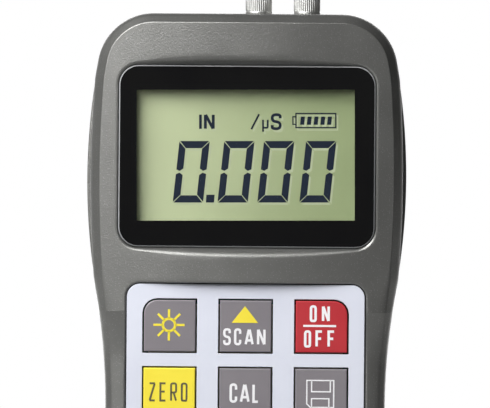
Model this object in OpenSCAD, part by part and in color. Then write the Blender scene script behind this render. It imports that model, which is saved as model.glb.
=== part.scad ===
// Handheld ultrasonic thickness gauge, standing on its foot.
// +Z runs up the gauge, the display faces -Y, and +X is to the right as the display is read.
// The origin is at the middle of the foot.

/* [Case] */
// Height of the case without the sockets
case_h = 150; // [147:1:154]
// Width of the head at its widest
head_w = 74; // [72:0.5:77]
// How much narrower than the head the grip is on each side
waist = 4.7; // [4:0.1:5.5]
// Depth from the crown of the front to the back
case_d = 32; // [31.5:0.5:35]
// Top of the case to the widest place
widest_drop = 38; // [35:1:41]
// Radius of the head's bulging sides
head_arc_r = 150; // [135:5:170]
// Radius of the hollow blend from head to grip
blend_r = 150; // [130:5:170]
// Radius of the upper corners
corner_r = 13; // [11:0.5:14]
// Radius of the lower corners
foot_r = 9; // [8:0.5:11]
// Radius of the crowned front face
crown_r = 220; // [200:10:260]
// Roll of the front edge
front_roll = 4; // [3:0.5:5]
// Roll of the back edge
back_roll = 5; // [4:0.5:6]
// Wall of both shells
wall = 2.2; // [2:0.1:2.4]
// Wall of the back
back_wall = 2.4; // [2:0.1:2.8]
// How far the rear shell stands proud beside the head
side_step = 0.9; // [0.5:0.1:1.2]
// Half the height of that proud stretch
side_step_span = 23; // [20:1:25]

/* [Display] */
// Case beside the lens
lens_side = 7.4; // [7:0.1:8.5]
// Height of the lens
lens_h = 41.9; // [41:0.1:42.5]
// Thickness of the lens
lens_t = 1.4; // [1.2:0.1:1.6]
// Corner radius of the lens
lens_r = 4.6; // [3.5:0.1:5.5]
// Top of the case to the top of the lens
lens_top_gap = 12; // [11.5:0.1:13]
// Gap around the lens
lens_gap = 0.2; // [0.1:0.05:0.3]
// Lip that carries the lens
lip_t = 1.4; // [1.2:0.1:1.6]
// Lens border beside the clear window
border_side = 3.95; // [3.5:0.05:5]
// Lens border above and below the clear window
border_end = 5.5; // [5:0.1:6.5]
// Window centre above the lens centre
window_rise = 0.4; // [0:0.1:0.8]
// Thickness of the panel
panel_t = 2.2; // [1.8:0.1:2.6]
// Thickness of the light guide
guide_t = 2; // [1.6:0.1:2.6]

/* [Keys] */
// Case beside the overlay
overlay_margin = 4.85; // [4.5:0.05:6]
// Bar between key columns
key_bar_x = 4.9; // [4.2:0.1:5.5]
// Bar between key rows
key_bar_z = 3.05; // [2.8:0.05:4]
// Gap around a key cap
key_gap = 0.35; // [0.25:0.05:0.5]
// How far the caps stand proud of the overlay
key_proud = 0.25; // [0.1:0.05:0.4]
// Travel of a key
key_travel = 0.5; // [0.3:0.05:0.6]
// Radius of the outermost key corners
key_corner_r = 3.4; // [2:0.1:4]
// Overlay beyond the outer key holes, sideways
overlay_side = 3.65; // [3.2:0.05:4.2]
// Overlay beyond the outer key holes, up and down
overlay_end = 3.4; // [3:0.1:3.6]
// Thickness of the overlay
overlay_t = 0.6; // [0.5:0.1:0.8]
// Corner radius of the overlay
overlay_r = 3; // [2:0.1:4]
// Bottom of the lens to the top of the overlay
lens_overlay_gap = 8.5; // [8:0.1:9.5]
// Top of the reference disc to the bottom of the overlay
disc_overlay_gap = 8.4; // [7:0.1:10]

/* [Sockets] */
// Outer radius of a socket over its ribs
socket_r = 3.1; // [3:0.1:3.3]
// Radius of the socket's bore
socket_bore_r = 2; // [1.8:0.1:2.1]
// Height of a socket above the case
socket_h = 8; // [7:0.5:9]
// Depth of the socket's bore
socket_bore_h = 6; // [5:0.5:6.5]
// Middle of the left socket from the middle of the case
socket_x = 2.5; // [1:0.1:3.5]
// Distance between the sockets
socket_pitch = 11.2; // [10.6:0.1:12]
// Sockets behind the middle of the case's depth
socket_y = 4.6; // [4.4:0.1:5.4]
// Radius of the socket's threaded shank
shank_r = 2.5; // [2.45:0.05:2.6]

/* [Battery bay] */
// Space between the main board and the wall of the bay
board_bay_gap = 1.3; // [1:0.05:1.6]
// Length of a cell with its button
cell_h = 50.5; // [49.5:0.1:50.8]
// Play around a cell
cell_play = 0.25; // [0.2:0.05:0.35]
// Free length of the bay beyond a cell, for its spring
spring_room = 5; // [4.5:0.1:6]
// Bottom of the bay above the foot
bay_z = 20; // [19:0.5:24]
// Wall of the bay
bay_wall = 1.5; // [1.2:0.1:1.7]
// Cover beyond the bay at each side
cover_side = 4.325; // [3.5:0.025:5]
// Cover beyond the bay at each end
cover_lap = 5; // [4.5:0.1:5.5]
// Gap around the cover
cover_gap = 0.3; // [0.2:0.05:0.4]

/* [Small parts] */
// Radius of the steel reference disc
disc_r = 10; // [8:0.5:11]
// Thickness of the reference disc
disc_t = 4; // [3.8:0.1:4.1]
// Height of the disc's middle above the foot
disc_z = 18.5; // [17:0.5:20]
// Thickness of the main board
board_t = 1.6; // [1.4:0.1:1.8]
// Width of the label plate on the back
label_w = 42; // [36:1:46]
// Top of the case to the top of the label
label_drop = 25; // [22:1:30]
// Top of the battery cover to the bottom of the label
label_cover_gap = 12; // [8:1:20]

/* [Hidden] */

casing_colour = [0.4, 0.41, 0.4];
black = [0.09, 0.09, 0.09];
steel = [0.75, 0.75, 0.76];
key_grey = [0.51, 0.5, 0.5];
key_yellow = [0.93, 0.87, 0.4];
key_red = [0.72, 0.2, 0.22];
overrun = 0.5;
fine = 64;
touch = 0.02;

// Front and back of the case
front_y = -case_d / 2;
back_y = case_d / 2;
function crown_sag(x) = crown_r - sqrt(crown_r * crown_r - x * x);

// Centres of the arcs that make the outline, and the angles at which they meet
grip_w = head_w - 2 * waist;
widest_z = case_h - widest_drop;
head_c = [head_w / 2 - head_arc_r, widest_z];
blend_rise = sqrt(pow(head_arc_r + blend_r, 2) - pow(grip_w / 2 + blend_r - head_c[0], 2));
blend_c = [grip_w / 2 + blend_r, widest_z - blend_rise];
blend_angle = asin(blend_rise / (head_arc_r + blend_r));
corner_c = [head_c[0] + sqrt(pow(head_arc_r - corner_r, 2) - pow(case_h - corner_r - widest_z, 2)),
    case_h - corner_r];
corner_angle = asin((corner_c[1] - widest_z) / (head_arc_r - corner_r));
foot_c = [grip_w / 2 - foot_r, foot_r];
corner_steps = 6;
side_steps = 8;
blend_steps = 5;
span_steps = 8;
roll_steps = 5;

function arc(c, r, from, to, steps) =
    [for (i = [0:steps - 1]) let (a = from + (to - from) * i / steps) c + r * [cos(a), sin(a)]];

// How far the front shell draws in from the full outline at a height
function step_at(z, step) =
    let (u = (z - widest_z) / side_step_span) abs(u) < 1 ? step * (1 - u * u) : 0;

// Right side of the outline from top to foot, drawn in by an inset all round
function side_points(inset, step) = [
    for (p = concat(
        arc(corner_c, corner_r - inset, 90, corner_angle, corner_steps),
        arc(head_c, head_arc_r - inset, corner_angle, -blend_angle, side_steps),
        arc(blend_c, blend_r + inset, 180 - blend_angle, 180, blend_steps),
        [[grip_w / 2 - inset, blend_c[1]]],
        arc(foot_c, foot_r - inset, 0, -90, corner_steps),
        [[foot_c[0], inset]]))
    [p[0] - step_at(p[1], step), p[1]]];

function reversed(list) = [for (i = [len(list) - 1:-1:0]) list[i]];
function mirrored(list) = [for (p = list) [-p[0], p[1]]];
function outline(inset, step) =
    let (side = side_points(inset, step)) concat(side, reversed(mirrored(side)));

// The same outline with points along its straight top and foot, so that they can follow the crown
function between(a, b) = [for (i = [1:span_steps - 1]) a + (b - a) * i / span_steps];
function closed_ring(inset, step) =
    let (side = side_points(inset, step), other = mirrored(side), last = len(side) - 1)
    concat(side, between(side[last], other[last]), reversed(other), between(other[0], side[0]));

// Half a case: outline rings from the parting plane over the rolled edge, closed by a crowned face.
// side is -1 for the front and +1 for the back.
module half_case(side, face_y, roll, step, crowned) {
    function depth_at(x) = face_y - side * (crowned ? crown_sag(x) : 0);
    n = len(closed_ring(0, step));
    rows = len(side_points(0, step));
    rim = [for (p = closed_ring(0, step)) [p[0], parting_y, p[1]]];
    rolled = [for (k = [0:roll_steps]) let (a = 90 * k / roll_steps, inset = roll * (1 - cos(a)))
        for (p = closed_ring(inset, step)) [p[0], depth_at(p[0]) - side * roll * (1 - sin(a)), p[1]]];
    top = side_points(roll, step);
    inner = [for (j = [1:rows - 2]) for (i = [1:span_steps - 1])
        let (x = top[j][0] * (1 - 2 * i / span_steps)) [x, depth_at(x), top[j][1]]];
    last_ring = n * (roll_steps + 1);
    inner_start = n * (roll_steps + 2);
    // Number of the face point in row j and column i, from the right edge to the left
    function face_point(j, i) =
        i == 0 ? last_ring + j
        : i == span_steps ? last_ring + 2 * rows + span_steps - 2 - j
        : j == 0 ? last_ring + n - i
        : j == rows - 1 ? last_ring + rows - 1 + i
        : inner_start + (j - 1) * (span_steps - 1) + i - 1;
    function left(j) = 2 * rows + span_steps - 2 - j;
    walls = [for (k = [0:roll_steps]) for (i = [0:n - 1])
        let (a = k * n + i, b = k * n + (i + 1) % n) each [[a, b + n, b], [a, a + n, b + n]]];
    face = [for (j = [0:rows - 2]) for (i = [0:span_steps - 1])
        let (a = face_point(j, i), b = face_point(j, i + 1),
            c = face_point(j + 1, i + 1), d = face_point(j + 1, i))
        each [[a, c, d], [a, b, c]]];
    base_top = [for (i = [0:span_steps - 1])
        [left(1), i == 0 ? left(0) : left(0) + i, i == span_steps - 1 ? 0 : left(0) + i + 1]];
    base_foot = [for (i = [0:span_steps - 1]) [rows - 2, rows - 1 + i, rows + i]];
    base = concat(base_top, [[left(1), 0, 1]],
        [for (j = [1:rows - 3]) each [[j, j + 1, left(j + 1)], [j, left(j + 1), left(j)]]],
        base_foot, [[rows - 2, left(rows - 1), left(rows - 2)]]);
    faces = concat(walls, face, base);
    polyhedron(concat(rim, rolled, inner), side > 0 ? faces : [for (f = faces) reversed(f)]);
}

// A flat shape drawn in X and Z, standing from y = from to y = to
module slab(from, to) {
    translate([0, to, 0]) rotate([90, 0, 0]) linear_extrude(to - from) children();
}

module outline_slab(inset, step, from, to) {
    slab(from, to) polygon(outline(inset, step));
}

// Corner points of a rounded rectangle; radii are upper right, upper left, lower left, lower right
function rounded_points(w, h, radii) = [
    for (q = [0:3]) let (sx = q == 0 || q == 3 ? 1 : -1, sz = q < 2 ? 1 : -1, r = radii[q])
    for (i = [0:r > 0 ? corner_steps : 0]) let (a = 90 * (q + i / corner_steps))
    [sx * (w / 2 - r), sz * (h / 2 - r)] + r * [cos(a), sin(a)]];

module plate(w, h, radii, x, z, from, to) {
    slab(from, to) translate([x, z]) polygon(rounded_points(w, h, radii));
}

module round_plate(w, h, r, x, z, from, to) {
    plate(w, h, [r, r, r, r], x, z, from, to);
}

// A box from one corner to the other
module box(low, high) {
    translate(low) cube(high - low);
}

// A cylinder along Y
module peg(r, x, z, from, to) {
    translate([x, to, z]) rotate([90, 0, 0]) cylinder(r = r, h = to - from, $fn = fine);
}

// Display stack
lens_w = head_w - 2 * lens_side;
window_w = lens_w - 2 * border_side;
window_h = lens_h - 2 * border_end;
lens_y = front_y + crown_sag(lens_w / 2);
lens_z = case_h - lens_top_gap - lens_h / 2;
lip_y = lens_y + lens_t;
inner_y = lip_y + lip_t;
window_z = lens_z + window_rise;
opening_margin = 1;
opening_w = window_w + 2 * opening_margin;
opening_h = window_h + 2 * opening_margin;
panel_lap = 1.5;
panel_w = opening_w + 2 * panel_lap;
panel_h = opening_h + 2 * panel_lap;
gasket_t = 0.3;
panel_y = inner_y + gasket_t;
guide_y = panel_y + panel_t;
frame_floor_t = 1.1;
frame_floor_y = guide_y + guide_t;
frame_wall = 0.9;
frame_gap = 0.1;
board_y = frame_floor_y + frame_floor_t;
board_back = board_y + board_t;
strip_h = 1.8;
strip_edge = 0.6;
strip_gap = 0.15;
strip_w = panel_w - 4 * strip_edge;
strip_offset = panel_h / 2 - strip_edge - strip_h / 2;
guide_w = panel_w - 2 * strip_edge;
guide_h = 2 * (strip_offset - strip_h / 2 - 2 * strip_gap);

// Keypad
overlay_w = grip_w - 2 * overlay_margin;
overlay_y = front_y + crown_sag(overlay_w / 2);
overlay_top = lens_z - lens_h / 2 - lens_overlay_gap;
overlay_h = overlay_top - disc_z - disc_r - disc_overlay_gap;
overlay_z = overlay_top - overlay_h / 2;
key_hole_w = (overlay_w - 2 * overlay_side - 2 * key_bar_x) / 3;
key_hole_h = (overlay_h - 2 * overlay_end - 2 * key_bar_z) / 3;
overlay_gap = 0.2;
overlay_back = overlay_y + overlay_t;
key_w = key_hole_w - 2 * key_gap;
key_h = key_hole_h - 2 * key_gap;
key_face_y = overlay_y - key_proud;
flange_gap = 0.1;
flange_t = 0.6;
flange_lap = 0.6;
flange_w = key_hole_w + 2 * flange_lap;
flange_h = key_hole_h + 2 * flange_lap;
stem_r = 1.8;
dome_h = 0.5;
dome_r = 3.4;
dome_clear = 0.08;
dome_steps = 4;
sheet_t = 0.2;
stem_end_y = board_y - sheet_t - dome_h - key_travel - dome_clear;
function key_x(column) = (column - 1) * (key_hole_w + key_bar_x);
function key_z(row) = overlay_z + (1 - row) * (key_hole_h + key_bar_z);
// Corner radii of the hole in each row and column: only the outermost corners are round
function key_radii(column, row, r) = [
    column == 2 && row == 0 ? r : 0, column == 0 && row == 0 ? r : 0,
    column == 0 && row == 2 ? r : 0, column == 2 && row == 2 ? r : 0];

// Case screws
screw_edge = 10;
screw_lens_gap = 2.2;
foot_screw_edge = 8.3;
foot_screw_z = 10;
case_screw_r = 1.25;
screw_clear = 0.08;
screw_head_r = 2.3;
screw_head_t = 1.5;
head_sunk = 0.5;
head_clear = 0.25;
post_r = 3;
screw_grip = 7;
cross_w = 0.7;
cross_l = 2.8;
cross_d = 0.9;
screw_side = head_w / 2 - screw_edge;
screw_z = case_h - lens_top_gap + screw_lens_gap;
foot_screw_side = grip_w / 2 - foot_screw_edge;
case_screw_places = [[screw_side, screw_z], [-screw_side, screw_z],
    [foot_screw_side, foot_screw_z], [-foot_screw_side, foot_screw_z]];
head_seat_y = back_y - head_sunk - screw_head_t;

// Main board
board_top_drop = 13.8;
board_head_side = 5.5;
board_grip_side = 4.8;
board_head_w = head_w - 2 * board_head_side;
board_grip_w = grip_w - 2 * board_grip_side;
board_foot_z = 26;
board_post_r = 2.3;
board_screw_r = 1;
board_screw_head_r = 1.9;
board_screw_head_t = 1;
board_screw_grip = 3.5;
board_screw_edge = 2.7;
board_foot_edge = 4.5;
board_edge = 5;
board_post_gap = 1.8;
board_screw_side = board_head_w / 2 - board_screw_edge;
board_foot_side = board_grip_w / 2 - board_foot_edge;
board_screw_high = window_z - panel_h / 2 - frame_wall - frame_gap - board_post_r - board_post_gap;
board_step_z = board_screw_high - board_post_r - strip_edge;
board_top = case_h - board_top_drop;
board_screw_places = [[board_screw_side, board_screw_high], [-board_screw_side, board_screw_high],
    [board_foot_side, board_foot_z + board_edge], [-board_foot_side, board_foot_z + board_edge]];

// Parts on the back of the board: width, height, thickness and place
chip_t = 1.4;
processor_w = 12;
processor_x = -13;
processor_drop = 37;
memory_w = 8;
memory_h = 5;
memory_x = socket_x + socket_pitch / 2;
memory_drop = 21;
can_w = 24;
can_h = 18;
can_t = 4.5;
can_x = 8;
can_drop = 34;
can_wall = 0.4;
crystal_w = 4;
crystal_h = 10;
crystal_t = 3;
crystal_x = -22;
crystal_drop = 39;
capacitor_r = 3.1;
capacitor_h = 8;
capacitor_x = -21.6;
capacitor_pitch = 6.8;
capacitor_drop = 21;
sounder_r = 4.8;
sounder_t = 5;
sounder_hole_r = 1.2;
sounder_x = -13;
sounder_drop = 22.5;

// Seal in the joint between the shells
seal_w = 0.8;
seal_d = 1.2;
seal_gap = 0.1;
seal_inset = wall / 2;

// Battery bay between the main board and the cover, and the plane where the shells part before it
cover_t = back_wall;
bay_front_y = board_back + board_bay_gap + bay_wall;
bay_room = 0.3;
parting_y = bay_front_y - bay_wall - bay_room;
cell_r = (back_y - cover_t - bay_front_y) / 2 - cell_play;
cell_y = bay_front_y + cell_play + cell_r;
bay_w = 4 * cell_r + 3 * cell_play;
cell_x = cell_r + cell_play / 2;
cover_w = bay_w + 2 * cover_side;
plate_t = 0.5;
bay_h = cell_h + spring_room + 2 * plate_t;
bay_top = bay_z + bay_h;
button_r = 2.7;
button_h = 1.3;
cell_round = 0.6;
contact_gap = 0.1;
spring_wire_r = 0.35;
spring_turns = 4;
spring_sides = 6;
spring_steps = 14;
plate_edge = 1.65;
plate_side_edge = 2.15;
link_edge = 2.65;
spring_foot_share = 0.59;
spring_tip_share = 0.62;
plate_w = 2 * (cell_r - plate_edge);
plate_h = 2 * (cell_r - plate_side_edge);
link_h = 2 * (cell_r - link_edge);
spring_foot_r = cell_r * spring_foot_share;
spring_tip_r = spring_foot_r * spring_tip_share;

// Battery cover, turning on its round lower edge
nose_r = cover_t / 2;
cover_z = bay_z - cover_lap;
cover_top = bay_top + cover_lap;
hinge_y = back_y - nose_r;
hinge_z = cover_z + nose_r;
seat_t = 1.4;
seat_lap = 1.5;
tab_w = 9;
tab_t = 1.2;
tab_d = 3.4;
tab_gap = 0.45;
tongue_w = 6;
tongue_h = 3;
tongue_t = 0.9;
tongue_side = 12;
tongue_gap = 0.35;
rib_w = 14;
rib_r = 0.45;
rib_count = 4;
rib_pitch = 2;
rib_drop = 4;
thumb_r = 9;
thumb_d = 1.2;

// Sockets
rib_number = 26;
rib_depth_share = 0.08;
rib_sink = 0.08;
rib_shares = [[-0.3, 1], [0.2, 1], [0.3, 1 - rib_depth_share], [0.6, 1 - rib_depth_share]];
base_h = 0.9;
base_chamfer = 0.45;
nut_wall = 1.2;
nut_flats = 2 * (shank_r + nut_wall);
nut_t = 2;
nut_clear = 0.06;
shank_h = 7;
core_r = 1.5;
core_flange_t = 1;
core_tail_r = 0.9;
core_tail_h = 3;
core_clear = 0.05;
contact_r = 0.45;
contact_d = 3;
shank_clear = 0.08;
lead_r = 0.5;
lead_land_drop = 19;
socket_places = [socket_x, socket_x + socket_pitch];
top_thread_z = case_h - wall;
core_top_z = case_h + socket_h - socket_bore_h;
core_bottom_z = case_h - wall - shank_h;

// Reference disc
disc_y = front_y + crown_sag(disc_r);
disc_gap = 0.1;
disc_floor_t = 1.2;
disc_edge = 0.4;

// Label
label_top = case_h - label_drop;
label_h = label_top - cover_top - label_cover_gap;
label_z = label_top - label_h / 2;
label_t = 0.4;
label_gap = 0.15;
label_r = 2;

// The hollow of the front shell, around its screw posts and the cup of the reference disc
module front_hollow() {
    difference() {
        outline_slab(wall, side_step, inner_y, parting_y + overrun);
        for (p = case_screw_places) peg(post_r, p[0], p[1], inner_y - overrun, parting_y + 2 * overrun);
        for (p = board_screw_places) peg(board_post_r, p[0], p[1], inner_y - overrun, board_y);
        peg(disc_r + disc_floor_t, 0, disc_z, inner_y - overrun,
            disc_y + disc_t + disc_gap + disc_floor_t);
    }
}

module front_shell() {
    color(casing_colour) difference() {
        half_case(-1, front_y, front_roll, side_step, true);
        front_hollow();
        round_plate(lens_w + 2 * lens_gap, lens_h + 2 * lens_gap, lens_r + lens_gap, 0, lens_z,
            front_y - overrun, lip_y);
        box([-opening_w / 2, lip_y - overrun, window_z - opening_h / 2],
            [opening_w / 2, inner_y + overrun, window_z + opening_h / 2]);
        round_plate(overlay_w + 2 * overlay_gap, overlay_h + 2 * overlay_gap, overlay_r + overlay_gap,
            0, overlay_z, front_y - overrun, overlay_back);
        for (column = [0:2]) for (row = [0:2])
            plate(key_hole_w, key_hole_h, key_radii(column, row, key_corner_r),
                key_x(column), key_z(row), overlay_back - overrun, inner_y + overrun);
        peg(disc_r + disc_gap, 0, disc_z, front_y - overrun, disc_y + disc_t);
        seal_ring(seal_w + 2 * seal_gap, parting_y - seal_d / 2, parting_y + overrun);
        for (p = case_screw_places)
            peg(case_screw_r + screw_clear, p[0], p[1],
                parting_y - screw_grip - overrun, parting_y + overrun);
        for (p = board_screw_places)
            peg(board_screw_r + screw_clear, p[0], p[1],
                board_y - board_screw_grip - overrun, board_y + overrun);
    }
}

// A ring that follows the joint between the shells
module seal_ring(w, from, to) {
    difference() {
        outline_slab(seal_inset - w / 2, side_step, from, to);
        outline_slab(seal_inset + w / 2, side_step, from - overrun, to + overrun);
    }
}

// The hollow of the rear shell, around the battery bay, the cover's seat and the screw posts
module rear_hollow() {
    difference() {
        outline_slab(wall, side_step, parting_y - overrun, back_y - back_wall);
        box([-bay_w / 2 - bay_wall, bay_front_y - bay_wall, bay_z - bay_wall],
            [bay_w / 2 + bay_wall, back_y, bay_top + bay_wall]);
        box([-cover_w / 2 - seat_lap, back_y - cover_t - seat_t, hinge_z - tongue_h - 2 * seat_lap],
            [cover_w / 2 + seat_lap, back_y, cover_top + 2 * seat_lap]);
        for (p = case_screw_places) peg(post_r, p[0], p[1], parting_y - 2 * overrun, back_y);
    }
}

module rear_shell() {
    color(casing_colour) difference() {
        half_case(1, back_y, back_roll, 0, false);
        rear_hollow();
        box([-bay_w / 2, bay_front_y, bay_z], [bay_w / 2, back_y + overrun, bay_top]);
        box([-cover_w / 2 - cover_gap, back_y - cover_t, hinge_z],
            [cover_w / 2 + cover_gap, back_y + overrun, cover_top + cover_gap]);
        translate([-cover_w / 2 - cover_gap, hinge_y, hinge_z]) rotate([0, 90, 0])
            cylinder(r = nose_r + cover_gap, h = cover_w + 2 * cover_gap, $fn = fine);
        for (side = [-1, 1])
            box([side * tongue_side - tongue_w / 2 - cover_gap, back_y - cover_t - tongue_h - tongue_gap,
                hinge_z - tongue_h - tongue_gap],
                [side * tongue_side + tongue_w / 2 + cover_gap, hinge_y + tongue_gap,
                hinge_z + tongue_gap]);
        box([-tab_w / 2 - tab_gap, back_y - cover_t - tab_d - tab_gap, cover_top - tab_t - tab_gap],
            [tab_w / 2 + tab_gap, back_y - cover_t + overrun, cover_top + cover_gap]);
        translate([0, back_y + thumb_r - thumb_d, cover_top]) rotate([0, 90, 0])
            translate([0, 0, -rib_w / 2]) cylinder(r = thumb_r, h = rib_w, $fn = fine);
        round_plate(label_w + 2 * label_gap, label_h + 2 * label_gap, label_r + label_gap,
            0, label_z, back_y - label_t, back_y + overrun);
        seal_ring(seal_w + 2 * seal_gap, parting_y - overrun, parting_y + seal_d / 2);
        for (p = case_screw_places) {
            peg(case_screw_r + 2 * screw_clear, p[0], p[1], parting_y - overrun, back_y + overrun);
            peg(screw_head_r + head_clear, p[0], p[1], head_seat_y, back_y + overrun);
        }
        for (x = socket_places)
            translate([x, socket_y, top_thread_z - overrun])
                cylinder(r = shank_r + shank_clear, h = wall + 2 * overrun, $fn = fine);
    }
}

module case_seal() {
    color(black) seal_ring(seal_w, parting_y - seal_d / 2, parting_y + seal_d / 2);
}

// A screw along Y with a cross recess, its head towards +Y and its seat at y = 0
module cross_screw(r, length, head_r, head_t) {
    difference() {
        union() {
            peg(r, 0, 0, -length, touch);
            peg(head_r, 0, 0, 0, head_t);
        }
        for (turn = [0, 90]) rotate([0, turn, 0])
            box([-cross_l * head_r / screw_head_r / 2, head_t - cross_d * head_t / screw_head_t,
                -cross_w / 2], [cross_l * head_r / screw_head_r / 2, head_t + overrun, cross_w / 2]);
    }
}

module case_screws() {
    color(steel) for (p = case_screw_places) translate([p[0], head_seat_y, p[1]])
        cross_screw(case_screw_r, head_seat_y - parting_y + screw_grip, screw_head_r, screw_head_t);
}

module board_screws() {
    color(steel) for (p = board_screw_places) translate([p[0], board_back, p[1]])
        cross_screw(board_screw_r, board_t + board_screw_grip, board_screw_head_r, board_screw_head_t);
}

module display_lens() {
    color(black) round_plate(lens_w, lens_h, lens_r, 0, lens_z, lens_y, lip_y);
}

module lens_gasket() {
    color(black) difference() {
        box([-panel_w / 2, inner_y, window_z - panel_h / 2], [panel_w / 2, panel_y, window_z + panel_h / 2]);
        box([-opening_w / 2, inner_y - overrun, window_z - opening_h / 2],
            [opening_w / 2, panel_y + overrun, window_z + opening_h / 2]);
    }
}

module display_panel() {
    color([0.65, 0.7, 0.52]) box([-panel_w / 2, panel_y, window_z - panel_h / 2],
        [panel_w / 2, guide_y, window_z + panel_h / 2]);
}

// Low and high edge of a contact strip, above or below the window
function strip_low(side) = window_z + side * strip_offset - strip_h / 2;

module panel_frame() {
    hold = frame_gap + frame_wall;
    color([0.92, 0.92, 0.9]) difference() {
        box([-panel_w / 2 - hold, panel_y, window_z - panel_h / 2 - hold],
            [panel_w / 2 + hold, board_y, window_z + panel_h / 2 + hold]);
        box([-panel_w / 2 - frame_gap, panel_y - overrun, window_z - panel_h / 2 - frame_gap],
            [panel_w / 2 + frame_gap, guide_y, window_z + panel_h / 2 + frame_gap]);
        box([-guide_w / 2 - frame_gap, guide_y - overrun, window_z - guide_h / 2 - frame_gap],
            [guide_w / 2 + frame_gap, frame_floor_y, window_z + guide_h / 2 + frame_gap]);
        for (side = [-1, 1])
            box([-strip_w / 2 - frame_gap, guide_y - overrun, strip_low(side) - strip_gap / 2],
                [strip_w / 2 + frame_gap, board_y + overrun, strip_low(side) + strip_h + strip_gap / 2]);
    }
}

module light_guide() {
    color([0.95, 0.97, 0.95]) box([-guide_w / 2, guide_y, window_z - guide_h / 2],
        [guide_w / 2, frame_floor_y, window_z + guide_h / 2]);
}

module contact_strips() {
    color([0.85, 0.5, 0.4]) for (side = [-1, 1])
        box([-strip_w / 2, guide_y, strip_low(side)], [strip_w / 2, board_y, strip_low(side) + strip_h]);
}

module main_board() {
    color([0.1, 0.4, 0.2]) difference() {
        slab(board_y, board_back) polygon([
            [board_head_w / 2, board_top], [-board_head_w / 2, board_top],
            [-board_head_w / 2, board_step_z], [-board_grip_w / 2, board_step_z - board_edge],
            [-board_grip_w / 2, board_foot_z], [board_grip_w / 2, board_foot_z],
            [board_grip_w / 2, board_step_z - board_edge], [board_head_w / 2, board_step_z]]);
        for (p = board_screw_places)
            peg(board_screw_r + screw_clear, p[0], p[1], board_y - overrun, board_back + overrun);
    }
}

module chip(x, z, w, h, t) {
    box([x - w / 2, board_back, z - h / 2], [x + w / 2, board_back + t, z + h / 2]);
}

module processor() {
    color(black) chip(processor_x, case_h - processor_drop, processor_w, processor_w, chip_t);
}

module memory_chip() {
    color(black) chip(memory_x, case_h - memory_drop, memory_w, memory_h, chip_t);
}

module screening_can() {
    color(steel) difference() {
        chip(can_x, case_h - can_drop, can_w, can_h, can_t);
        box([can_x - can_w / 2 + can_wall, board_back - overrun, case_h - can_drop - can_h / 2 + can_wall],
            [can_x + can_w / 2 - can_wall, board_back + can_t - can_wall,
            case_h - can_drop + can_h / 2 - can_wall]);
    }
}

module crystal() {
    color(steel) chip(crystal_x, case_h - crystal_drop, crystal_w, crystal_h, crystal_t);
}

module capacitors() {
    color([0.15, 0.2, 0.35]) for (i = [0, 1])
        peg(capacitor_r, capacitor_x, case_h - capacitor_drop - i * capacitor_pitch,
            board_back, board_back + capacitor_h);
}

module sounder() {
    color(black) difference() {
        peg(sounder_r, sounder_x, case_h - sounder_drop, board_back, board_back + sounder_t);
        peg(sounder_hole_r, sounder_x, case_h - sounder_drop,
            board_back + sounder_t / 2, board_back + sounder_t + overrun);
    }
}

module keypad_overlay() {
    color([0.85, 0.86, 0.9]) difference() {
        round_plate(overlay_w, overlay_h, overlay_r, 0, overlay_z, overlay_y, overlay_back);
        for (column = [0:2]) for (row = [0:2])
            plate(key_hole_w, key_hole_h, key_radii(column, row, key_corner_r),
                key_x(column), key_z(row), overlay_y - overrun, overlay_back + overrun);
    }
}

// A key: its cap in the hole, a flange behind the shell and a stem over the dome
module key_cap(column, row) {
    cap_radii = key_radii(column, row, key_corner_r - key_gap);
    flange_radii = key_radii(column, row, key_corner_r + flange_lap);
    flange_y = inner_y + flange_gap;
    plate(key_w, key_h, cap_radii, key_x(column), key_z(row), key_face_y, flange_y + touch);
    plate(flange_w, flange_h, flange_radii, key_x(column), key_z(row), flange_y, flange_y + flange_t);
    peg(stem_r, key_x(column), key_z(row), flange_y + flange_t - touch, stem_end_y);
}

module key_light() { color(key_grey) key_cap(0, 0); }
module key_up() { color(key_grey) key_cap(1, 0); }
module key_power() { color(key_red) key_cap(2, 0); }
module key_zero() { color(key_yellow) key_cap(0, 1); }
module key_cal() { color(key_grey) key_cap(1, 1); }
module key_save() { color(key_grey) key_cap(2, 1); }
module key_velocity() { color(key_grey) key_cap(0, 2); }
module key_down() { color(key_grey) key_cap(1, 2); }
module key_enter() { color(key_grey) key_cap(2, 2); }

module dome_sheet() {
    sheet_edge = dome_r - stem_r;
    color([0.9, 0.85, 0.6])
        box([key_x(0) - dome_r - sheet_edge, board_y - sheet_t, key_z(2) - dome_r - sheet_edge],
            [key_x(2) + dome_r + sheet_edge, board_y, key_z(0) + dome_r + sheet_edge]);
}

// Nine sprung metal domes, each a shallow cap of a sphere
module key_domes() {
    ball_r = (dome_r * dome_r + dome_h * dome_h) / (2 * dome_h);
    profile = [for (i = [0:dome_steps]) let (x = dome_r * (1 - i / dome_steps))
        [x, dome_h - ball_r + sqrt(ball_r * ball_r - x * x)]];
    color(steel) for (column = [0:2]) for (row = [0:2])
        translate([key_x(column), board_y - sheet_t, key_z(row)]) rotate([90, 0, 0])
            rotate_extrude($fn = fine) polygon(concat([[0, 0]], profile));
}

// Outline of a ribbed round bar: flat-topped ribs with grooves between them
function ribbed_points(r) = [for (i = [0:rib_number - 1])
    each [for (q = rib_shares) let (a = 360 * (i + q[0]) / rib_number) r * q[1] * [cos(a), sin(a)]]];

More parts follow.
